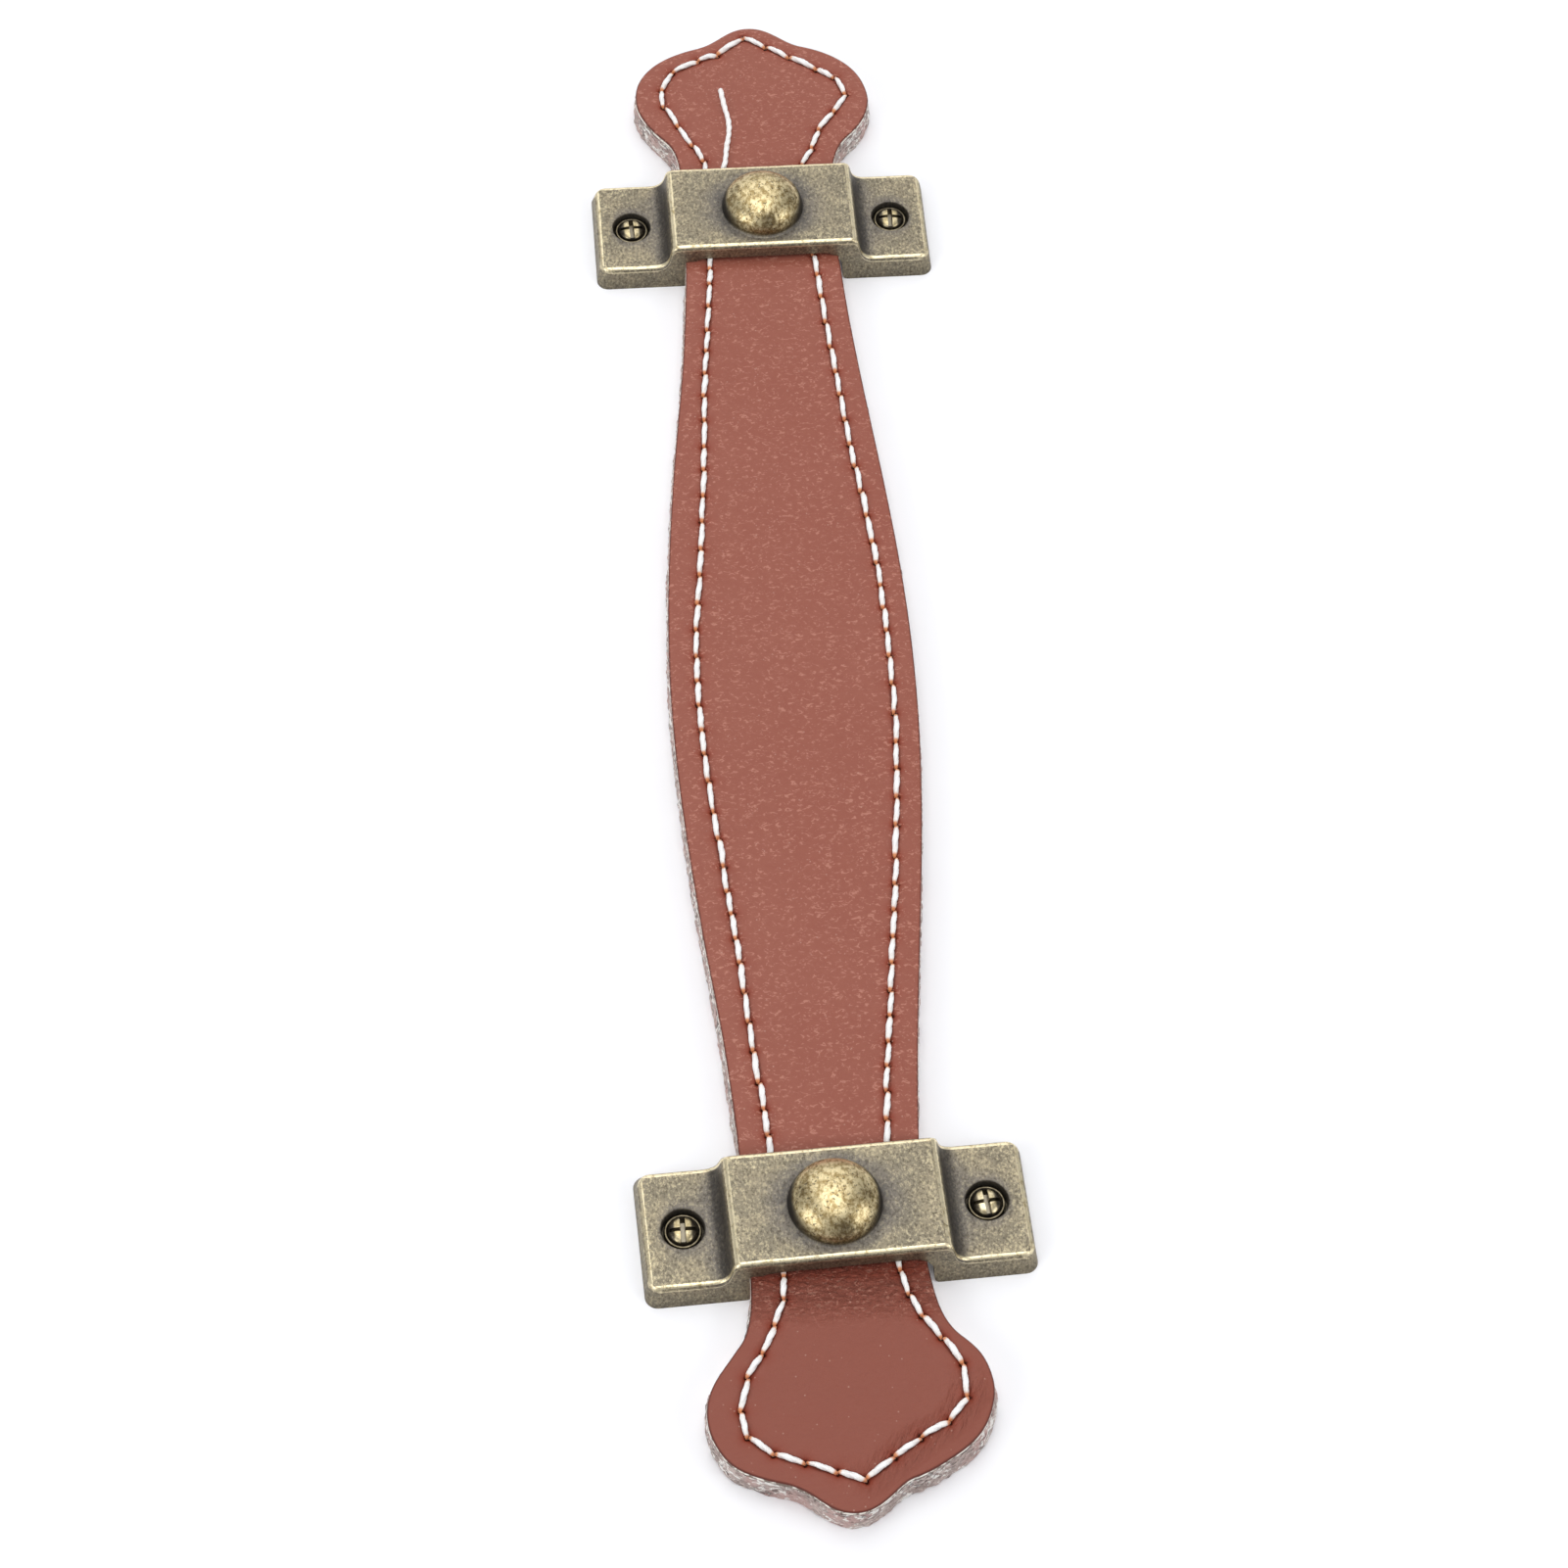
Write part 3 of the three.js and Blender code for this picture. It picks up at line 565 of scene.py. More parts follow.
def face_leather(grid, seam):
    """Top skin: rounded edge, swell between edge and seam, valley under the stitches, needle marks.

    The height is the flat top, less a quarter round at the edge, plus a sine-squared swell between
    edge and seam, a Gaussian lip beside the seam and a long and a short wave, less a Gaussian
    valley along the seam, a dimple round each hole and the needle marks.
    """
    inwards = grid.rows()
    plan = np.stack([grid.row(distance) for distance in inwards])
    flat = plan.reshape(-1, 2)
    around = plan.shape[1]
    edge_gap = np.full(len(flat), 10.0)
    edge_count = len(grid.EDGE_ROWS) * around
    edge_gap[:edge_count] = distance_to(flat[:edge_count], grid.edge[::2])
    seam_gap = np.abs(inwards - grid.to_seam).reshape(-1)
    seam_start = edge_count + len(grid.BETWEEN_SHARES) * around
    seam_zone = slice(seam_start, seam_start + len(grid.SEAM_ROWS) * around)
    seam_gap[seam_zone] = distance_to(flat[seam_zone], seam.hole_points)
    marked = slice(edge_count, seam_zone.stop)
    mark = np.zeros(len(flat))
    halo = np.zeros(len(flat))
    mark[marked], halo[marked] = needle_marks(flat[marked], seam)
    z = TOP - rounded_drop(edge_gap, FACING_ROUND)
    between = np.clip(inwards / grid.to_seam, 0, 1).reshape(-1)
    z += EDGE_SWELL * np.sin(np.pi * between) ** 2
    z += SEAM_LIP * bell(seam_gap - 1.05, 0.8)
    z -= SEAM_VALLEY * bell(seam_gap, 0.6) + HOLE_DIMPLE * halo + MARK_DEPTH * mark
    for seed, (height, length) in ((3, LONG_WAVE), (4, SHORT_WAVE)):
        z += height * waves(*flat.T, seed, length)
    levels = (BOARD_TOP, BOARD_TOP + 0.2, TOP - FACING_ROUND - 0.05)
    lower = [lifted(grid.spine, BOARD_TOP), *(lifted(grid.edge, level) for level in levels)]
    rows = np.concatenate([lower, lifted(plan, z.reshape(plan.shape[:2]))])
    marks = {"level": rows[..., 2].ravel()}
    for key, values, rest in (
        ("needle_mark", mark, 0), ("needle_halo", halo, 0), ("edge_gap", edge_gap, 0),
        ("seam_gap", seam_gap, 9),
    ):
        marks[key] = np.append(np.full(len(lower) * around, float(rest)), values)
    points, faces, kept = weld(pressed(rows).reshape(-1, 3), grid_quads(len(rows), around))
    marks = {key: values[kept] for key, values in marks.items()}
    return new_piece("strap_face_leather", points, faces, marks)


def fibre_backing(grid):
    """Pressed-fibre board: its cut side flares at the foot, is rough, and is cut in at the joint.

    Each level is the outline moved out by the flare times the fall from the top, less two seeded
    roughnesses and a ragged Gaussian crevice just under the facing.
    """
    levels = np.array([0, 0.1, *np.arange(1, 11) * 0.3, 3.25, 3.5, 3.7, 3.85, 4.0])
    count = len(grid.edge)
    rough = FINE_ROUGHNESS * soft_noise((len(levels), count), (1.2, 2.5), 11)
    rough += BROAD_ROUGHNESS * soft_noise((len(levels), count), (3, 16), 12)
    fall = 1 - levels / BOARD_TOP
    x, y = grid.edge.T
    free = smooth_step(10, 14, from_bracket(y))
    fuller = 1 + 1.6 * smooth_step(4, 13, x) * smooth_step(-100, -108, y)
    inset = 0.03 - rough * free - BOARD_FLARE * free * fuller * smooth_step(0, 1, fall)[:, None]
    ragged = np.clip(0.5 + 0.9 * soft_noise((1, count), (1, 12), 13), 0, 2)
    inset += CREVICE * bell(levels - 3.82, 0.12)[:, None] * ragged
    inset += FOOT_WEAR * smooth_step(0.3, 0, levels)[:, None]
    inset[-1] = 0.04
    head = BOARD_TOP - 0.001
    wall = lifted(np.stack([grid.row(row) for row in inset]), np.minimum(levels, head)[:, None])
    rows = np.concatenate([[lifted(grid.spine, 0)], wall, [lifted(grid.spine, head)]])
    points, faces, _ = weld(pressed(rows).reshape(-1, 3), grid_quads(len(rows), count))
    return new_piece("strap_fibre_board", points, faces)


# Thread

def twisted_tubes(centres, radii, lay, sides=12):
    """Three plies twisted round each path, as one closed skin per path.

    The section is a circle whose radius falls by a quarter in three grooves: to 1 less a quarter of
    1 - |cos(1.5 a)| at the angle a. It turns by the lay. centres is (paths, steps, 3).
    """
    across, over = square_to(unit(np.gradient(centres, axis=-2)))
    angle = np.arange(sides) * 2 * np.pi / sides
    lobed = 1 - (1 - np.abs(np.cos(1.5 * angle))) / 4
    turned = lay[..., None] + angle
    reach = radii[..., None] * lobed
    out = (reach * np.cos(turned))[..., None] * across[..., None, :]
    out = out + (reach * np.sin(turned))[..., None] * over[..., None, :]
    return centres[..., None, :] + out


def needle_stitches(seam):
    """Front stitches. Each rises from its hole in a short arc, lies plump and dives into the next.

    The height is a low power of a sine from hole to hole, and the radius goes from the pinched
    share to the whole by the same sine.
    """
    t = np.array([0, 0.06, 0.12, 0.19, 0.28, 0.39, 0.5, 0.61, 0.72, 0.81, 0.88, 0.94, 1])
    side = quarter_turned(seam.hole_ways)
    slant = STITCH_SLANT * random.uniform(0.4, 1.5, (seam.count, 1))
    start = seam.hole_points + slant * side
    end = np.roll(seam.hole_points - slant * side, -1, axis=0)
    way = unit(end - start)
    start, end = start + 0.05 * way, end - 0.05 * way
    bow = random.normal(0, 0.07, (seam.count, 1, 1)) * np.sin(np.pi * t)[None, :, None]
    plan = start[:, None] * (1 - t)[None, :, None] + end[:, None] * t[None, :, None]
    plan = plan + bow * quarter_turned(way)[:, None]
    arch = np.sin(np.pi * t)
    plump = random.uniform(0.9, 1.08, (seam.count, 1))
    lean = 1 + random.uniform(-0.12, 0.12, (seam.count, 1)) * np.cos(np.pi * t)[None]
    fullness = PINCHED_SHARE + (1 - PINCHED_SHARE) * arch ** 0.55
    radii = THREAD_RADIUS * plump * lean * fullness
    low = TOP - 0.34
    lying = TOP - SEAM_VALLEY * 0.5 + THREAD_RADIUS * 0.8
    z = low + (lying - low) * arch ** 0.4
    centres = pressed(lifted(plan, z))
    lay = random.uniform(0, 2 * np.pi, (seam.count, 1)) + 2 * np.pi * 0.75 * t[None]
    tubes = twisted_tubes(centres, radii, lay)
    pinch = np.broadcast_to((1 - arch ** 0.6)[None, :, None], tubes.shape[:3])
    return tubes, pinch


def thread_tail():
    """Loose end of the needle thread on the upper lobe, a little fuller towards its cut end."""
    steps = 96
    t = np.linspace(0, 1, steps)
    plan = resample(smooth_line(np.array(TAIL_ROUTE), 300), steps)
    lift = TOP + THREAD_RADIUS * 0.9 + 0.04 * np.sin(9 * t) + 0.2 * smooth_step(0.86, 1, t)
    centres = pressed(lifted(plan, lift))[None]
    radii = THREAD_RADIUS * (0.98 + 0.05 * np.sin(31 * t) + 0.1 * smooth_step(0.9, 0.99, t))
    radii = radii * np.where(t > 0.992, 0.6, 1)
    return twisted_tubes(centres, radii[None], (2 * np.pi * 5 * t)[None])


def needle_thread(seam):
    stitches, pinch = needle_stitches(seam)
    tail = thread_tail()
    faces = tube_faces(*stitches.shape[:3]) + tube_faces(*tail.shape[:3], stitches.size // 3)
    points = np.concatenate([stitches.reshape(-1, 3), tail.reshape(-1, 3)])
    tint = np.concatenate([pinch.ravel(), np.full(tail.size // 3, 0.12)])
    return new_piece("seam_needle_thread", points, faces, {"pinch": tint})


def bobbin_thread(seam):
    """Back stitches, sunk in the board's groove, pulled thin where the needle thread locks them."""
    sides = 8
    share = (np.arange(len(seam.points)) % seam.STEPS) / seam.STEPS
    radii = THREAD_RADIUS * (0.6 + 0.3 * np.sin(np.pi * share))
    along = np.roll(seam.points, -1, axis=0) - np.roll(seam.points, 1, axis=0)
    side = lifted(quarter_turned(unit(along)), 0)
    angle = (np.arange(sides) * 2 * np.pi / sides)[:, None]
    ring = np.cos(angle) * side[:, None] + np.sin(angle) * UP
    points = lifted(seam.points, THREAD_RADIUS + 0.03)[:, None] + radii[:, None, None] * ring
    quads = grid_quads(len(side), sides, wrap_rows=True)
    return new_piece("seam_bobbin_thread", points.reshape(-1, 3), quads)


# Brackets

def fillet_line(corners, cuts, steps):
    """A line through corners, each replaced by a quadratic curve that starts `cut` before it."""
    points = [corners[0]]
    for before, corner, after, cut in zip(corners, corners[1:], corners[2:], cuts):
        start, end = corner + cut * unit(before - corner), corner + cut * unit(after - corner)
        t = np.linspace(0, 1, steps)[:, None]
        points.extend((1 - t) ** 2 * start + 2 * (1 - t) * t * corner + t ** 2 * end)
    points.append(corners[-1])
    return np.array(points)


def half_depth(z):
    """Half the bracket's depth: it flares at the foot, then leans in by the draft."""
    flared = np.minimum(z, FOOT_FLARE_HEIGHT)
    return BRACKET_DEPTH / 2 - FOOT_FLARE * flared - DRAFT * (z - flared)


def top_line(x):
    """Height of the bracket's top along it: bridge, sloping step, ear and rounded end."""
    bends = [0, BRIDGE_HALF, STEP_FOOT, BRACKET_HALF]
    corners = np.transpose([bends, [BRIDGE_TOP, BRIDGE_TOP, EAR_TOP, EAR_TOP]])
    line = fillet_line(corners, (SHOULDER_ROUND, STEP_FILLET), 11)
    height = np.interp(np.abs(x), line[:, 0], line[:, 1])
    return height - rounded_drop(BRACKET_HALF - np.abs(x), EDGE_ROUND)


def under_line(x):
    """Height of the bracket's under side along it: the channel, its corners round, and the foot."""
    channel = CHANNEL_TOP - rounded_drop(CHANNEL_HALF - np.abs(x), CHANNEL_ROUND)
    foot = rounded_drop(np.abs(x) - CHANNEL_HALF, FOOT_ROUND)
    return np.where(np.abs(x) < CHANNEL_HALF, channel, foot)


def bracket_stations():
    """Places along the bracket, crowded where its top or under side bends."""
    corner = np.array([1, 0.8, 0.6, 0.42, 0.27, 0.15, 0.07, 0.02, 0.003])
    half = np.concatenate([
        np.linspace(0, 8.9, 14),
        CHANNEL_HALF - CHANNEL_ROUND * corner,
        CHANNEL_HALF + np.array([0.005, 0.04, 0.12, 0.24, 0.4, 0.6]),
        np.linspace(CHANNEL_HALF + FOOT_ROUND, 17.8, 36),
        np.linspace(18.2, 24.6, 13),
        [25.0, 25.4, 25.7],
        BRACKET_HALF - np.array([0.95, 0.8, 0.66, 0.52, 0.4, 0.29, 0.2, 0.12, 0.06, 0.02, 0]),
    ])
    return np.concatenate([-half[::-1][:-1], half])


def bracket_rings(stations):
    """Closed sections: under side, flared wall, rounded edge, top, and back down."""
    top = top_line(stations)
    under = under_line(stations)
    plan_drop = rounded_drop(BRACKET_HALF - np.abs(stations), PLAN_ROUND)
    radius = np.minimum(EDGE_ROUND, (top - under) * 0.45)
    edge_foot = top - radius
    wall = [under + share * (edge_foot - under) for share in (0, 0.2, 0.4, 0.6, 0.75, 0.87, 0.95)]
    rings = [(half_depth(z) - plan_drop, z) for z in wall]
    edge_y = half_depth(edge_foot) - plan_drop
    for angle in np.linspace(0, np.pi / 2, 9):
        rings.append((edge_y - radius * (1 - np.cos(angle)), edge_foot + radius * np.sin(angle)))
    for share in (0.012, 0.035, 0.07, 0.115, 0.17, 0.24, 0.33, 0.45, 0.6, 0.8):
        rings.append(((edge_y - radius) * (1 - share), top))
    right = np.array(rings).transpose(2, 0, 1)
    left = right[:, ::-1] * [-1, 1]
    shares = np.linspace(-0.75, 0.75, 7)
    bottom = np.stack([right[:, :1, 0] * shares, np.repeat(under[:, None], 7, axis=1)], -1)
    return np.concatenate([bottom, right, left], axis=1)


def bracket_shell():
    """The loft of the sections, its ends leaned in by the draft, with a faint cast unevenness."""
    stations = bracket_stations()
    rings = bracket_rings(stations)
    lean = END_DRAFT * smooth_step(19, BRACKET_HALF, np.abs(stations)) * np.sign(stations)
    y, z = rings[..., 0], rings[..., 1]
    x = stations[:, None] - lean[:, None] * z
    cast = 0.025 * waves(x + 3, y + z, 21, 6)
    z = z + np.where(z > 0.5, cast * smooth_step(0.5, 2, z), 0)
    return np.stack([x, y, z], -1).reshape(-1, 3), tube_faces(1, *rings.shape[:2])


def boss_profile():
    """Root in the bridge, concave fillet, then nearly a half ball."""
    wide, root = BOSS_RADIUS + BOSS_FILLET, BRIDGE_TOP - 0.9
    waist = (BOSS_RADIUS, BRIDGE_TOP + BOSS_FILLET)
    fillet = quarter_round(waist, (wide, BRIDGE_TOP), 8)[::-1]
    dome = quarter_round(waist, (0, BRIDGE_TOP + BOSS_HEIGHT), 30)[1:]
    return np.concatenate([[(0, root), (wide, root), (wide, BRIDGE_TOP - 0.04)], fillet, dome])


def counterbore_profile():
    """Shank hole, flat seat, wall and a worn round mouth."""
    wide, top = COUNTERBORE_RADIUS, EAR_TOP + 0.02
    mouth = wide + COUNTERBORE_MOUTH
    seat = [(0, -1), (HOLE_RADIUS, -1), (HOLE_RADIUS, SCREW_SEAT), (wide, SCREW_SEAT)]
    worn = quarter_round((wide, top - COUNTERBORE_MOUTH), (mouth, top), 6)
    return np.concatenate([seat, worn, [(mouth, top + 1), (0, top + 1)]])


def combine(base, others):
    """Applies boolean operations in turn and deletes the tools. Returns the base object."""
    for tool, operation in others:
        modifier = base.modifiers.new("combine", "BOOLEAN")
        modifier.operation = operation
        modifier.solver = "EXACT"
        modifier.object = tool
        graph = bpy.context.evaluated_depsgraph_get()
        result = bpy.data.meshes.new_from_object(base.evaluated_get(graph))
        base.modifiers.clear()
        old = base.data
        base.data = result
        bpy.data.meshes.remove(old)
        bpy.data.objects.remove(tool)
    return base


def moved_lathe(name, profile, segments, x, y=0):
    points, faces = revolved(*profile.T, segments)
    return new_piece(name, points + [x, y, 0], faces)


def worn_edges(x, y, z, top, half):
    """Bright lines along the bracket's edges, and the distance from the nearest of them."""
    long_edge = np.hypot(half - 0.42 - y, top - 0.06 - z)
    second_line = np.hypot(half + 0.04 - y, top - 0.62 - z)
    shoulder = np.hypot(x - BRIDGE_HALF + 0.22, (z - BRIDGE_TOP + 0.05) * 0.8)
    end_edge = np.hypot(x - BRACKET_HALF + END_DRAFT * EAR_TOP + 0.35, z - EAR_TOP + 0.08)
    on_corner = (x > BRACKET_HALF - PLAN_ROUND - 0.5) & (y > half - PLAN_ROUND)
    corner_reach = np.hypot(x - BRACKET_HALF + PLAN_ROUND + 0.5, y - half + PLAN_ROUND)
    edge = np.maximum.reduce([
        bell(np.minimum(long_edge, end_edge), 0.3), bell(shoulder, 0.46),
        0.5 * bell(second_line, 0.2), on_corner * 0.5 * bell(corner_reach - PLAN_ROUND + 0.1, 0.3),
    ])
    return edge, np.minimum.reduce([long_edge, shoulder, end_edge])


def bracket_wear(points, boss_at):
    """Masks in the bracket's own frame, 0 to 1: bright worn edges, rubbed field, and dark hollows,
    where patina lies with painted shade, and painted dark reflections on the boss.

    Each is a Gaussian, an exponential or a smooth step of the distance from an edge line, the boss,
    the step's foot or a screw hole. Those on the boss stand by themselves.
    """
    across, along = (points[:, :2] - boss_at).T
    (x, y), z = np.abs(points[:, :2].T), points[:, 2]
    top = top_line(x)
    half = half_depth(top)
    on_top = z > top - 0.3
    edge, edge_reach = worn_edges(x, y, z, top, half)
    boss_reach = np.hypot(across, along)
    boss_height = np.clip((z - BRIDGE_TOP) / BOSS_HEIGHT, 0, 1)
    on_boss = (z > BRIDGE_TOP + 0.12) & (boss_reach < BOSS_RADIUS + BOSS_FILLET)
    # painted shade: the ring round the boss and the boss's rim are darker at their left and right
    side_shade = 0.2 + 0.8 * (across / np.maximum(boss_reach, 0.1)) ** 2
    ring = bell(np.maximum(boss_reach - BOSS_RADIUS - 0.5, 0), 1.2) * (0.3 + 0.7 * side_shade)
    step = smooth_step(BRIDGE_HALF, STEP_FOOT - 0.2, x)
    step *= smooth_step(STEP_FOOT + 2.2, STEP_FOOT + 0.2, x)
    hole_reach = np.hypot(x - SCREW_X, y)
    bore = bell(hole_reach - COUNTERBORE_RADIUS - 0.1, 0.4)
    in_bore = (hole_reach < COUNTERBORE_RADIUS + 0.06) & (z < EAR_TOP - 0.1)
    wall = smooth_step(0.5, 1.2, top - z) * (~on_boss)
    # patina in the step, boss root and bore mouth, with painted shade inside the counterbores, on
    # the walls and towards the foot
    hollow = np.maximum.reduce([
        on_top * 0.5 * ring, on_top * 0.62 * step, on_top * 0.3 * bore, in_bore * 0.6,
        wall * 0.18 + smooth_step(2.2, 0.0, z) * 0.3,
    ])
    calm = np.maximum.reduce([
        bell(np.maximum(boss_reach - BOSS_RADIUS, 0), 2.6),
        bell(np.maximum(x - STEP_FOOT, 0), 3.0) * (x > BRIDGE_HALF + 0.2),
        0.8 * bell(np.maximum(hole_reach - COUNTERBORE_RADIUS, 0), 1.3),
    ])
    rub = (0.3 + 0.7 * np.exp(-edge_reach / 2.2)) * (1 - 0.8 * calm)
    # dark spots on the boss: tarnish, with painted dark reflections at its front and sides
    tarnish_and_reflection = np.max([
        share * bell(np.hypot(across - x0, (along - y0) * flat), size)
        for x0, y0, flat, size, share in TARNISH_AND_REFLECTION
    ], axis=0)
    boss_rub = (0.3 + 0.6 * smooth_step(0.1, 0.85, boss_height)) * (1 - 0.9 * tarnish_and_reflection)
    # painted dark reflection along the boss's rim at its left and right
    skirt = 0.95 * smooth_step(5.2, 6.2, boss_reach) * side_shade
    under = (z < CHANNEL_TOP + 0.02) & (x < CHANNEL_HALF + 0.05) & (y < half - 0.1)
    return {
        "edge_wear": np.where(on_boss | under, 0, edge),
        "rub": np.where(on_boss, boss_rub, np.where(wall > 0.5, 0.42, rub)),
        "hollow": np.where(on_boss, np.maximum(skirt, 0.55 * tarnish_and_reflection), hollow * (1 - 0.9 * edge)),
        "boss": on_boss * smooth_step(0.03, 0.16, boss_height),
    }


def turned_about_z(points, turn):
    cosine, sine = math.cos(turn), math.sin(turn)
    return points @ np.array([[cosine, sine, 0], [-sine, cosine, 0], [0, 0, 1]])


def placed(piece, centre, turn):
    """Turns and moves a piece from the bracket's own frame to its place on the strap."""
    points = (turned_about_z(mesh_points(piece.data), turn) + centre) * MM
    piece.data.vertices.foreach_set("co", points.astype(np.float32).ravel())
    piece.data.update()
    return piece


def finish_mesh(piece, name, sharp_degrees, marks):
    """Names a combined mesh, shades it with sharp creases, and stores its marks."""
    mesh = piece.data
    mesh.name = name
    mesh.shade_smooth()
    mesh.set_sharp_from_angle(angle=math.radians(sharp_degrees))
    store(mesh, marks(mesh_points(mesh)))


def bracket(name, centre, turn, boss_at):
    points, faces = bracket_shell()
    body = new_piece(name, points, faces)
    boss = moved_lathe("boss_tool", boss_profile(), 80, *boss_at)
    tools = [(boss, "UNION")]
    for x in (-SCREW_X, SCREW_X):
        tools.append((moved_lathe("bore_tool", counterbore_profile(), 48, x), "DIFFERENCE"))
    combine(body, tools)
    finish_mesh(body, name, 38, lambda points: bracket_wear(points, boss_at))
    return placed(body, centre, turn)


# Screws

def head_profile():
    """Flange with a rounded rim, a shallow groove inside it, and a domed crown."""
    foot = [(SCREW_RADIUS * 0.93, 0), (HEAD_RADIUS - 0.15, 0), (HEAD_RADIUS, 0.15)]
    rim = quarter_round((HEAD_RADIUS, HEAD_RIM - 0.26), (HEAD_RADIUS - 0.26, HEAD_RIM), 6)
    groove = [(2.2, HEAD_RIM - 0.06), (2.08, HEAD_RIM - 0.26), (CROWN_RADIUS, HEAD_RIM - 0.26)]
    angle = np.linspace(0, np.pi / 2, 11)[:-1]
    rise = HEAD_HEIGHT - HEAD_RIM + 0.1
    crown = [CROWN_RADIUS * np.cos(angle) ** 0.75, HEAD_RIM - 0.1 + rise * np.sin(angle)]
    return np.concatenate([foot, rim, groove, np.transpose(crown), [(0, HEAD_HEIGHT)]])


def screw_surface():
    """Lathe from the point up to the head. The shank's radius follows a helix to make the thread.

    The thread's phase is height over pitch less the turn, and its tooth a triangle of that phase.
    """
    segments = 56
    turn = np.linspace(0, 1, segments, endpoint=False)
    shank_z = np.linspace(-SCREW_LENGTH, -0.25, 120)
    taper = np.clip((shank_z + SCREW_LENGTH) / SCREW_POINT, 0, 1) ** 0.75
    phase = np.mod(shank_z[:, None] / SCREW_PITCH - turn, 1)
    tooth = np.clip(1 - np.abs(phase - 0.5) * 3.4, 0, 1)
    fade = smooth_step(-SCREW_NECK + 0.4, -SCREW_NECK - 0.6, shank_z)[:, None]
    core = SCREW_CORE + (SCREW_RADIUS * 0.93 - SCREW_CORE) * (1 - fade)
    radius = taper[:, None] * (core + (SCREW_RADIUS - SCREW_CORE) * tooth * fade)
    radius[0] = 0
    head = head_profile()
    radius = np.concatenate([radius, np.repeat(head[:, :1], segments, axis=1)])
    return revolved(radius, np.concatenate([shank_z, head[:, 1]]), segments)


def recess_blade(turn, half_wide):
    """One blade of the cross recess: a wedge that narrows downwards."""
    ends = ((HEAD_HEIGHT - RECESS_DEPTH, 1.45, 0.7), (HEAD_HEIGHT + 0.8, 2.3, 1.1))
    corners = [
        (a * half_long, b * half_wide * share, z)
        for z, half_long, share in ends for a, b in ((-1, -1), (1, -1), (1, 1), (-1, 1))
    ]
    faces = [[3, 2, 1, 0], [4, 5, 6, 7], [0, 1, 5, 4], [1, 2, 6, 5], [2, 3, 7, 6], [3, 0, 4, 7]]
    return new_piece("blade_tool", turned_about_z(np.array(corners), turn), faces)


def screw_wear(points):
    """Worn bright on the crown, dark in the groove and the recess; a painted highlight ring on the
    rim, painted dark reflections on the crown's sides and a painted light reflection on the recess
    floor.
    """
    (x, y), z = np.abs(points[:, :2].T), points[:, 2]
    reach = np.hypot(x, y)
    crown = smooth_step(HEAD_RIM + 0.1, HEAD_RIM + 0.45, z) * (reach < CROWN_RADIUS + 0.02)
    # painted dark reflection: the crown's gold fades towards its sides
    crown = crown * (1 - 0.8 * smooth_step(0.8, 1.4, x))
    # painted highlight ring along the rim
    rim = 0.5 * bell(np.hypot(reach - HEAD_RADIUS + 0.18, z - HEAD_RIM + 0.03), 0.16)
    in_slot = (np.minimum(x, y) < 0.36) & (reach < CROWN_RADIUS) & (z < HEAD_HEIGHT - 0.25)
    # painted light reflection on the floor of the recess
    slot_floor = in_slot & (z < HEAD_HEIGHT - RECESS_DEPTH + 0.1)
    return {"crown": np.maximum(np.where(in_slot, 0, crown), rim), "slot_floor": slot_floor}


def screw(name, centre, turn, x, head_turn):
    points, faces = screw_surface()
    piece = new_piece(name, points, faces)
    blades = [(recess_blade(math.pi / 2, 0.4), "DIFFERENCE"), (recess_blade(0, 0.3), "DIFFERENCE")]
    combine(piece, blades)
    finish_mesh(piece, name, 40, screw_wear)
    placed(piece, np.array([x, 0, SCREW_SEAT]), head_turn)
    return placed(piece, centre, turn)


# Node trees

def srgb(red, green, blue):
    """A colour as linear light from its 0 to 255 display values."""
    shown = np.array([red, green, blue]) / 255
    light = np.where(shown <= 0.04045, shown / 12.92, ((shown + 0.055) / 1.055) ** 2.4)
    return (*light.tolist(), 1.0)


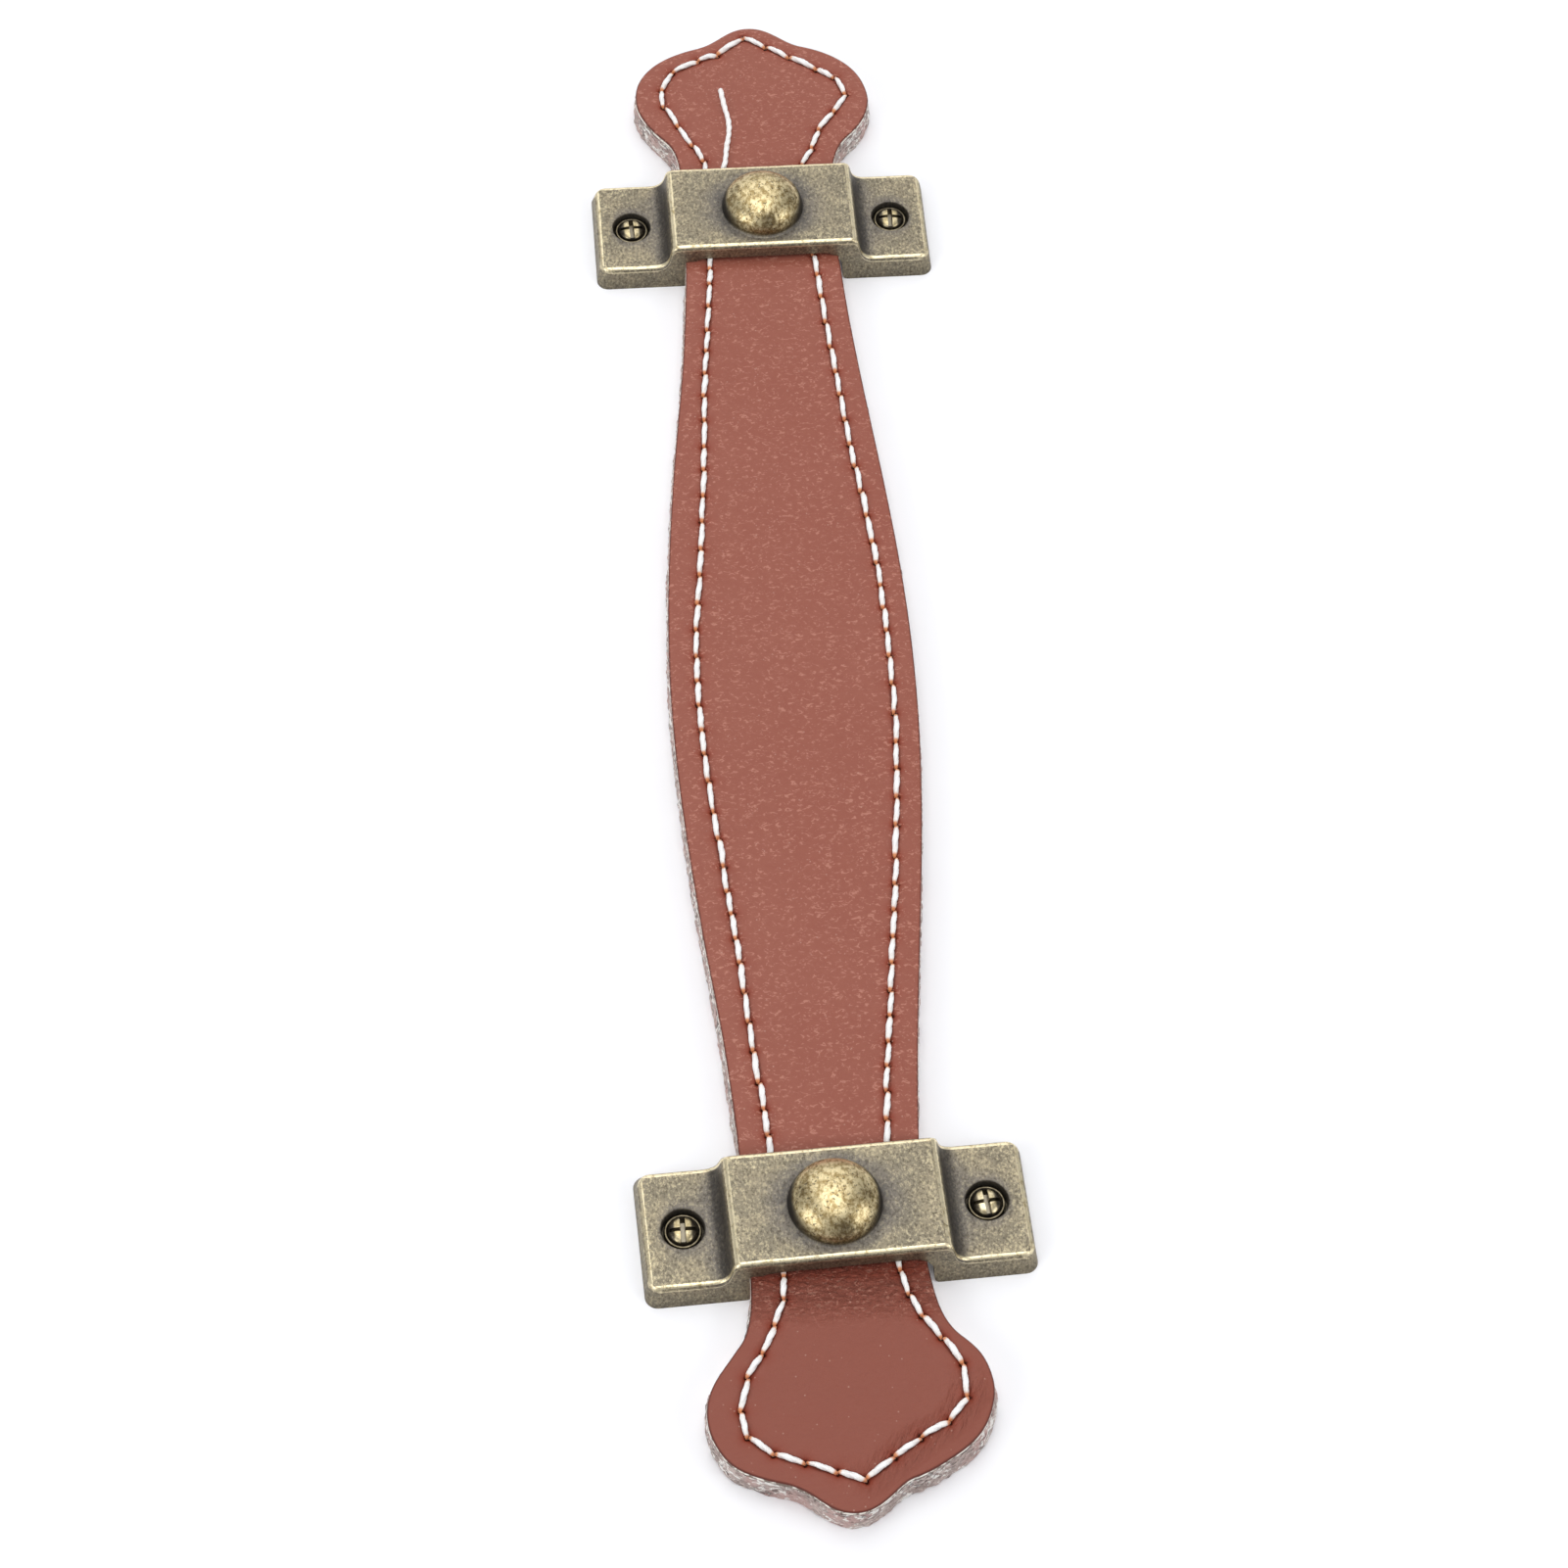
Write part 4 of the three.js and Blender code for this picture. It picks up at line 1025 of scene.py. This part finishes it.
class Tree:
    """Adds nodes to a node tree. An input given as a socket is linked, and any other is set.

    Colours are sockets, display values of three numbers, or linear light of four.
    """

    def __init__(self, tree):
        self.tree = tree

    def feed(self, node, inputs):
        for key, value in inputs.items():
            if isinstance(value, bpy.types.NodeSocket):
                self.tree.links.new(value, node.inputs[key])
            else:
                node.inputs[key].default_value = value

    def add(self, kind, inputs=None, **settings):
        node = self.tree.nodes.new(kind)
        for key, value in settings.items():
            setattr(node, key, value)
        self.feed(node, inputs or {})
        return node

    def math(self, operation, a, b):
        return self.add("ShaderNodeMath", {0: a, 1: b}, operation=operation).outputs[0]

    def times(self, a, b):
        return self.math("MULTIPLY", a, b)

    def plus(self, a, b):
        return self.math("ADD", a, b)

    def most(self, a, b):
        return self.math("MAXIMUM", a, b)

    def mix(self, factor, *colours):
        a, b = (srgb(*c) if isinstance(c, tuple) and len(c) == 3 else c for c in colours)
        return self.add("ShaderNodeMix", {0: factor, 6: a, 7: b}, data_type="RGBA").outputs[2]

    def layered(self, colour, *layers):
        """Lays colours over one another. A layer is its mask, its share of that and its colour."""
        for mask, share, over in layers:
            colour = self.mix(mask if share == 1 else self.times(mask, share), colour, over)
        return colour

    def between(self, factor, a, b):
        return self.add("ShaderNodeMix", {0: factor, 2: a, 3: b}, data_type="FLOAT").outputs[0]

    def ramp(self, value, low, high):
        limits = {"Value": value, "From Min": low, "From Max": high}
        return self.add("ShaderNodeMapRange", limits, interpolation_type="SMOOTHSTEP").outputs[0]

    def noise(self, vector, scale, detail=3.0, roughness=0.55, distortion=0.0):
        keys = ("Vector", "Scale", "Detail", "Roughness", "Distortion")
        inputs = dict(zip(keys, (vector, scale, detail, roughness, distortion)))
        return self.add("ShaderNodeTexNoise", inputs).outputs["Fac"]

    def cells(self, vector, scale):
        return self.add("ShaderNodeTexVoronoi", {"Vector": vector, "Scale": scale}).outputs[0]

    def attributes(self, *names):
        nodes = [self.add("ShaderNodeAttribute", attribute_name=name) for name in names]
        return [node.outputs["Fac"] for node in nodes]

    def place(self):
        return self.add("ShaderNodeTexCoord").outputs["Object"]

    def axes(self, vector):
        return self.add("ShaderNodeSeparateXYZ", {0: vector}).outputs

    def stretched(self, vector, *scale):
        return self.add("ShaderNodeMapping", {"Vector": vector, "Scale": scale}).outputs[0]

    def bump(self, height, strength, distance, **normal):
        inputs = {"Height": height, "Strength": strength, "Distance": distance, **normal}
        return self.add("ShaderNodeBump", inputs).outputs[0]

    def mottle(self, vector, scale, cover, softness):
        inputs = {"Vector": vector, "Scale": scale, "Cover": cover, "Softness": softness}
        return self.add("ShaderNodeGroup", inputs, node_tree=MOTTLE).outputs[0]

    def grain(self, vector, scale, depth):
        inputs = {"Vector": vector, "Scale": scale, "Depth": depth}
        return self.add("ShaderNodeGroup", inputs, node_tree=GRAIN).outputs[0]


def node_group(name, inputs, output, kind):
    """A shader node group: its tree, and its input sockets in order. All but Vector are values."""
    group = bpy.data.node_groups.new(name, "ShaderNodeTree")
    for key in inputs:
        socket = "NodeSocketVector" if key == "Vector" else "NodeSocketFloat"
        group.interface.new_socket(key, in_out="INPUT", socket_type=socket)
    group.interface.new_socket(output, in_out="OUTPUT", socket_type=kind)
    given = group.nodes.new("NodeGroupInput").outputs
    return Tree(group), [given[key] for key in inputs]


def mottle_group():
    """Blotches of two sizes, 0 to 1, with the share that they cover."""
    inputs = ("Vector", "Scale", "Cover", "Softness")
    tree, (vector, scale, cover, softness) = node_group("mottle", inputs, "Mask", "NodeSocketFloat")
    fine = tree.noise(vector, scale, 5, 0.62, 0.3)
    coarse = tree.noise(vector, tree.times(scale, 0.22), 2, 0.5)
    both = tree.plus(tree.times(fine, 0.68), tree.times(coarse, 0.32))
    middle = tree.plus(tree.times(tree.math("SUBTRACT", 0.5, cover), 0.42), 0.5)
    mask = tree.ramp(both, tree.math("SUBTRACT", middle, softness), tree.plus(middle, softness))
    tree.add("NodeGroupOutput", {"Mask": mask})
    return tree.tree


def grain_group():
    """Fine pitted grain as a normal."""
    inputs = ("Vector", "Scale", "Depth")
    tree, (vector, scale, depth) = node_group("surface_grain", inputs, "Normal", "NodeSocketVector")
    soft = tree.noise(vector, tree.times(scale, 0.4), 4)
    height = tree.plus(tree.times(tree.cells(vector, scale), 0.5), soft)
    tree.add("NodeGroupOutput", {"Normal": tree.bump(height, depth, 0.0001)})
    return tree.tree


MOTTLE = mottle_group()
GRAIN = grain_group()


# Materials

def material(paint):
    """A material with one Principled shader, named after the function that says its inputs."""
    made = bpy.data.materials.new(paint.__name__)
    made.use_nodes = True
    tree = Tree(made.node_tree)
    tree.feed(made.node_tree.nodes["Principled BSDF"], paint(tree))
    return made


def tan_leather(tree):
    """Smooth brown leather: fine grain, pale dust and a pale cut side, with painted shade on the
    lower lobe, beside the lower bracket, along the stitches and in the needle holes, and painted
    highlights on the creases.
    """
    place = tree.place()
    y = tree.axes(place)[1]
    height, seam, edge = tree.attributes("level", "seam_gap", "edge_gap")
    halo, mark = tree.attributes("needle_halo", "needle_mark")
    blotch = tree.mottle(place, 900, 0.5, 0.16)
    beside, beyond = (tree.ramp(y, *limits) for limits in NECK_PAINTED_SHADE)
    ragged = tree.times(tree.noise(place, 500, 3), 0.1)
    cut = tree.ramp(tree.plus(height, ragged), TOP - 0.17, TOP - 0.24)
    bare = tree.times(cut, tree.ramp(edge, 0.4, 0.3))
    fibre = tree.mix(tree.mottle(place, 1100, 0.56, 0.05), (134, 118, 106), (252, 246, 234))
    joint = tree.ramp(height, BOARD_TOP + 0.16, BOARD_TOP + 0.04)
    folds = tree.noise(tree.stretched(place, 0.8, 1.3, 1), 1500, 4, 0.6, 1.0)
    crease_highlight = tree.times(tree.ramp(folds, 0.55, 0.64), tree.ramp(y, *CREASE_HIGHLIGHT))
    dusty = tree.ramp(tree.noise(place, 300, 1), 0.44, 0.56)
    speck = tree.times(tree.ramp(tree.cells(place, 850), 0.13, 0.07), dusty)
    colour = tree.layered(
        tree.mix(blotch, (148, 84, 68), (152, 89, 73)),
        (tree.ramp(tree.noise(place, 28, 2), 0.35, 0.65), 0.3, (145, 79, 63)),
        # painted shade: the lower lobe darker
        (tree.ramp(y, *LOBE_PAINTED_SHADE), 0.72, (136, 74, 59)),
        # painted shade on the leather beside the lower bracket
        (tree.times(beside, beyond), 0.6, (136, 58, 40)),
        # painted shadow along both sides of the stitches
        (tree.ramp(seam, 0.72, 0.42), 0.6, (92, 36, 24)),
        (halo, 0.75, (132, 46, 22)),
        # needle marks painted dark as the shade in the holes
        (tree.ramp(mark, 0.22, 0.62), 1, (60, 18, 8)),
        (tree.ramp(edge, 0.34, 0.1), 0.75, (74, 30, 26)),
        (bare, 1, tree.layered(fibre, (joint, 0.75, (70, 58, 52)))),
        # painted highlights on the creases below the lower bracket
        (crease_highlight, 0.45, (206, 146, 126)),
        (speck, 0.32, (214, 178, 160)),
    )
    grain = tree.grain(place, 2600, 0.1)
    return {
        "Base Color": colour,
        "Roughness": tree.between(bare, tree.between(blotch, 0.44, 0.52), 0.9),
        "Normal": tree.bump(wrinkles(tree, place, seam), 1.0, 0.0006, Normal=grain),
        "Specular IOR Level": 0.25,
    }


def wrinkles(tree, place, seam):
    """Fine creases across the strap below the lower bracket, and beside the seam down there."""
    x, y, _ = tree.axes(place)
    level = tree.noise(tree.stretched(place, 0.75, 1.4, 1), 1300, 4, 0.6, 1.0)
    neck = tree.times(*(tree.ramp(y, *limits) for limits in NECK_CREASES))
    slanted = tree.add("ShaderNodeMapping", {"Vector": place, "Rotation": (0, 0, 0.4)}).outputs[0]
    upright = tree.noise(tree.stretched(slanted, 2.2, 0.5, 1), 800, 3, 0.6, 0.5)
    lobe = tree.times(tree.ramp(y, *LOBE_CREASES[0]), tree.ramp(x, *LOBE_CREASES[1]))
    sides = tree.times(tree.times(lobe, tree.ramp(seam, 3.4, 1.4)), upright)
    folds = tree.plus(tree.times(level, tree.times(neck, 1.7)), sides)
    return tree.plus(folds, tree.times(level, 0.12))


def fibre_board(tree):
    """Cut pressed fibre: pinkish grey with pale flecks and dark pits, darker at the joint."""
    place = tree.place()
    run = tree.stretched(place, 1, 1, 1.7)
    joint = tree.ramp(tree.axes(place)[2], (BOARD_TOP - 0.34) * MM, (BOARD_TOP - 0.14) * MM)
    colour = tree.layered(
        tree.mix(tree.mottle(run, 1500, 0.5, 0.1), (162, 144, 137), (212, 194, 186)),
        (tree.ramp(tree.noise(place, 240, 2), 0.42, 0.6), 0.6, (204, 164, 157)),
        (tree.mottle(tree.stretched(place, 0.7, 0.7, 1.2), 1500, 0.4, 0.03), 1, (250, 246, 240)),
        (tree.mottle(tree.stretched(place, 0.8, 0.8, 1.9), 1300, 0.36, 0.03), 0.7, (84, 72, 68)),
        (tree.times(joint, tree.ramp(tree.noise(place, 420, 3), 0.46, 0.56)), 0.8, (58, 48, 44)),
    )
    normal = tree.bump(tree.noise(run, 2400, 5, 0.7), 0.7, 0.0003)
    return {"Base Color": colour, "Roughness": 0.92, "Normal": normal}


def white_thread(tree):
    """Waxed white thread, tinted tan where it is pinched in a needle hole."""
    place = tree.place()
    pinch, = tree.attributes("pinch")
    colour = tree.layered(
        (255, 254, 252),
        (tree.mottle(place, 3000, 0.4, 0.15), 0.3, (232, 225, 220)),
        (tree.ramp(pinch, 0.05, 0.2), 0.3, (236, 222, 208)),
        (tree.ramp(pinch, 0.34, 0.6), 1, (222, 146, 96)),
    )
    sheen = {"Sheen Weight": 0.25, "Sheen Roughness": 0.4, "Roughness": 0.6}
    return {"Base Color": colour, "Normal": tree.grain(place, 4200, 0.25), **sheen}


def antique_brass(tree):
    """Antiqued brass: grey-brown patina, gold rubbed through on edges and boss, and black hollows,
    where patina lies with painted shade; painted dark reflections on the boss.
    """
    place = tree.place()
    edge, rub, hollow, boss = tree.attributes("edge_wear", "rub", "hollow", "boss")
    broad = tree.ramp(tree.noise(place, 260, 3), 0.35, 0.66)
    calm = tree.mix(broad, (112, 107, 101), (126, 119, 109))
    warm = tree.mix(broad, (134, 126, 108), (149, 139, 117))
    flecks = tree.noise(tree.stretched(place, 1.2, 0.85, 1), 2400, 4, 0.6, 0.2)
    bright = tree.times(tree.ramp(flecks, 0.53, 0.62), tree.between(rub, 0.15, 0.75))
    ragged = tree.noise(tree.stretched(place, 1, 0.7, 1), 1500, 5, 0.7)
    swing = tree.math("SUBTRACT", ragged, 0.5)

    def swung(mask, share):
        return tree.plus(mask, tree.times(swing, share))

    speckle = tree.times(tree.mottle(place, 2600, tree.times(rub, 0.5), 0.04), 0.22)
    bared = tree.times(boss, tree.ramp(swung(rub, 1.7), 0.12, 0.75))
    gold = tree.most(tree.most(tree.ramp(swung(edge, 0.3), 0.3, 0.6), speckle), bared)
    brass = tree.mix(tree.ramp(ragged, 0.28, 0.52), (186, 165, 118), (244, 230, 192))
    dome = tree.mix(tree.ramp(ragged, 0.38, 0.6), (158, 136, 90), (224, 207, 162))
    pits = tree.ramp(tree.noise(place, 2300, 3, 0.6), 0.58, 0.65)
    # dark patina in the hollows together with painted shade
    patina_shade_mask = tree.ramp(swung(hollow, 0.4), 0.12, 1.0)
    colour = tree.layered(
        tree.mix(tree.ramp(rub, 0.06, 0.5), calm, warm),
        (boss, 1, (116, 98, 62)),
        (bright, 1, (208, 195, 160)),
        (tree.ramp(flecks, 0.45, 0.37), 0.6, (84, 76, 66)),
        (gold, 1, tree.mix(boss, brass, dome)),
        (tree.times(pits, tree.between(boss, 0.4, 0.8)), 1, (78, 68, 52)),
        # patina and painted shade, nearly black
        (patina_shade_mask, 1, (44, 40, 36)),
    )
    uneven = tree.plus(tree.noise(place, 1100, 4, 0.6), tree.times(pits, -0.5))
    metal = {"Metallic": tree.between(patina_shade_mask, 0.9, 0.55), "Roughness": tree.between(gold, 0.5, 0.34)}
    return {"Base Color": colour, "Normal": tree.bump(uneven, 0.3, 0.0001), **metal}


def dark_bronze(tree):
    """Dark plated screws: nearly black, with the crown worn to dull gold, a painted highlight ring
    on the rim, painted dark reflections on the crown's sides and a painted light reflection on the
    recess floor.
    """
    place = tree.place()
    crown, slot_floor = tree.attributes("crown", "slot_floor")
    worn = tree.mottle(place, 1800, 0.42, 0.12)
    colour = tree.layered(
        tree.mix(worn, (66, 61, 54), (104, 95, 78)),
        # gold of the worn crown, with the painted rim highlight and darker painted sides
        (tree.ramp(crown, 0.2, 0.8), 1, tree.mix(worn, (176, 160, 120), (226, 212, 176))),
        # painted light reflection on the recess floor
        (slot_floor, 0.8, (150, 142, 124)),
    )
    normal = tree.grain(place, 3000, 0.12)
    return {"Base Color": colour, "Metallic": 0.92, "Roughness": 0.3, "Normal": normal}


def white_floor(tree):
    """White sweep: a faint glow for camera and gloss lifts it to white, and soft shadows stay."""
    path = tree.add("ShaderNodeLightPath").outputs
    seen = tree.most(path["Is Camera Ray"], path["Is Glossy Ray"])
    seen = tree.most(seen, path["Is Transmission Ray"])
    glow = tree.mix(seen, (0, 0, 0, 1), (0.07, 0.07, 0.072, 1))
    plain = {"Base Color": (0.93, 0.93, 0.94, 1), "Roughness": 1.0, "Specular IOR Level": 0.0}
    return {**plain, "Emission Color": glow, "Emission Strength": 1.0}


# Camera, floor and lights

def add_camera():
    """The camera fitted to the photograph, which is square."""
    data = bpy.data.cameras.new("camera")
    data.sensor_width = 36
    data.lens = 88.29
    data.clip_start = 0.01
    camera = in_scene("camera", data)
    camera.location = (-0.03308, -0.31835, 0.47317)
    camera.rotation_euler = (0.5715, -0.0263, -0.0604)
    bpy.context.scene.camera = camera


def add_floor():
    """A level floor that curves up far behind the part: a profile carried across."""
    run = np.array([-1500, -900, -300, 0, 300, 700, 1000, 1200, 1320, 1400, 1440, 1450])
    rise = np.array([0, 0, 0, 0, 0, 0, 20, 80, 170, 320, 560, 1200])
    x = np.linspace(-1600, 1600, 9)
    points = lifted(np.stack(np.meshgrid(x, run), -1), rise[:, None]).reshape(-1, 3)
    quads = grid_quads(len(run), len(x), wrap_columns=False)
    floor = new_piece("floor", points, quads)
    floor.data.materials.append(material(white_floor))


def add_softbox(name, place, aim, size, power):
    data = bpy.data.lights.new(name, "AREA")
    data.shape = "RECTANGLE"
    data.size, data.size_y = size
    data.energy = power
    lamp = in_scene(name, data)
    away = unit(np.subtract(place, aim))
    lamp.location = place
    lamp.rotation_euler = Matrix(np.stack([*square_to(away), away], 1).tolist()).to_euler()


def add_world():
    world = bpy.data.worlds.new("studio")
    world.use_nodes = True
    world.node_tree.nodes["Background"].inputs["Color"].default_value = (0.92, 0.94, 1.0, 1)
    world.node_tree.nodes["Background"].inputs["Strength"].default_value = 0.37
    bpy.context.scene.world = world


def add_lights():
    add_world()
    add_softbox("overhead", (-0.05, 0.0, 1.1), (0, 0.001, 0), (0.8, 0.7), 3.8)
    add_softbox("back", (-0.1, 0.75, 0.95), (0, 0, 0), (1.4, 1.2), 5.5)
    add_softbox("left_front", (-0.9, -0.55, 0.6), (0, 0, 0), (0.8, 0.7), 4.3)
    add_softbox("right_front", (0.9, -0.45, 0.65), (0, 0, 0), (0.8, 0.7), 3.4)


# Assembly

LOOKS = (tan_leather, fibre_board, white_thread, antique_brass, dark_bronze)
MATERIALS = {paint.__name__: material(paint) for paint in LOOKS}


def dress(piece, node, slot):
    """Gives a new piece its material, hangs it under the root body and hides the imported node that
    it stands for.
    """
    piece.data.materials.clear()
    piece.data.materials.append(MATERIALS[slot])
    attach(piece, "root")
    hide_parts(node)


def build():
    seam = Seam()
    grid = StrapGrid(seam)
    dress(face_leather(grid, seam), "face_leather", "tan_leather")
    dress(fibre_backing(grid), "fibre_backing", "fibre_board")
    dress(needle_thread(seam), "needle_thread", "white_thread")
    dress(bobbin_thread(seam), "bobbin_thread", "white_thread")
    for place, turn, boss_at, head_turns in BRACKETS:
        centre = np.mean(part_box(f"{place}_bracket"), axis=0) / MM * [1, 1, 0]
        casting = bracket(f"{place}_cast_bracket", centre, turn, boss_at)
        dress(casting, f"{place}_bracket", "antique_brass")
        for side, sign, head_turn in zip(("left", "right"), (-1, 1), head_turns):
            piece = screw(f"{place}_{side}_wood_screw", centre, turn, sign * SCREW_X, head_turn)
            dress(piece, f"screw_{place}_{side}", "dark_bronze")


add_camera()
build()
add_floor()
add_lights()

scene = bpy.context.scene
scene.view_settings.view_transform = "Standard"
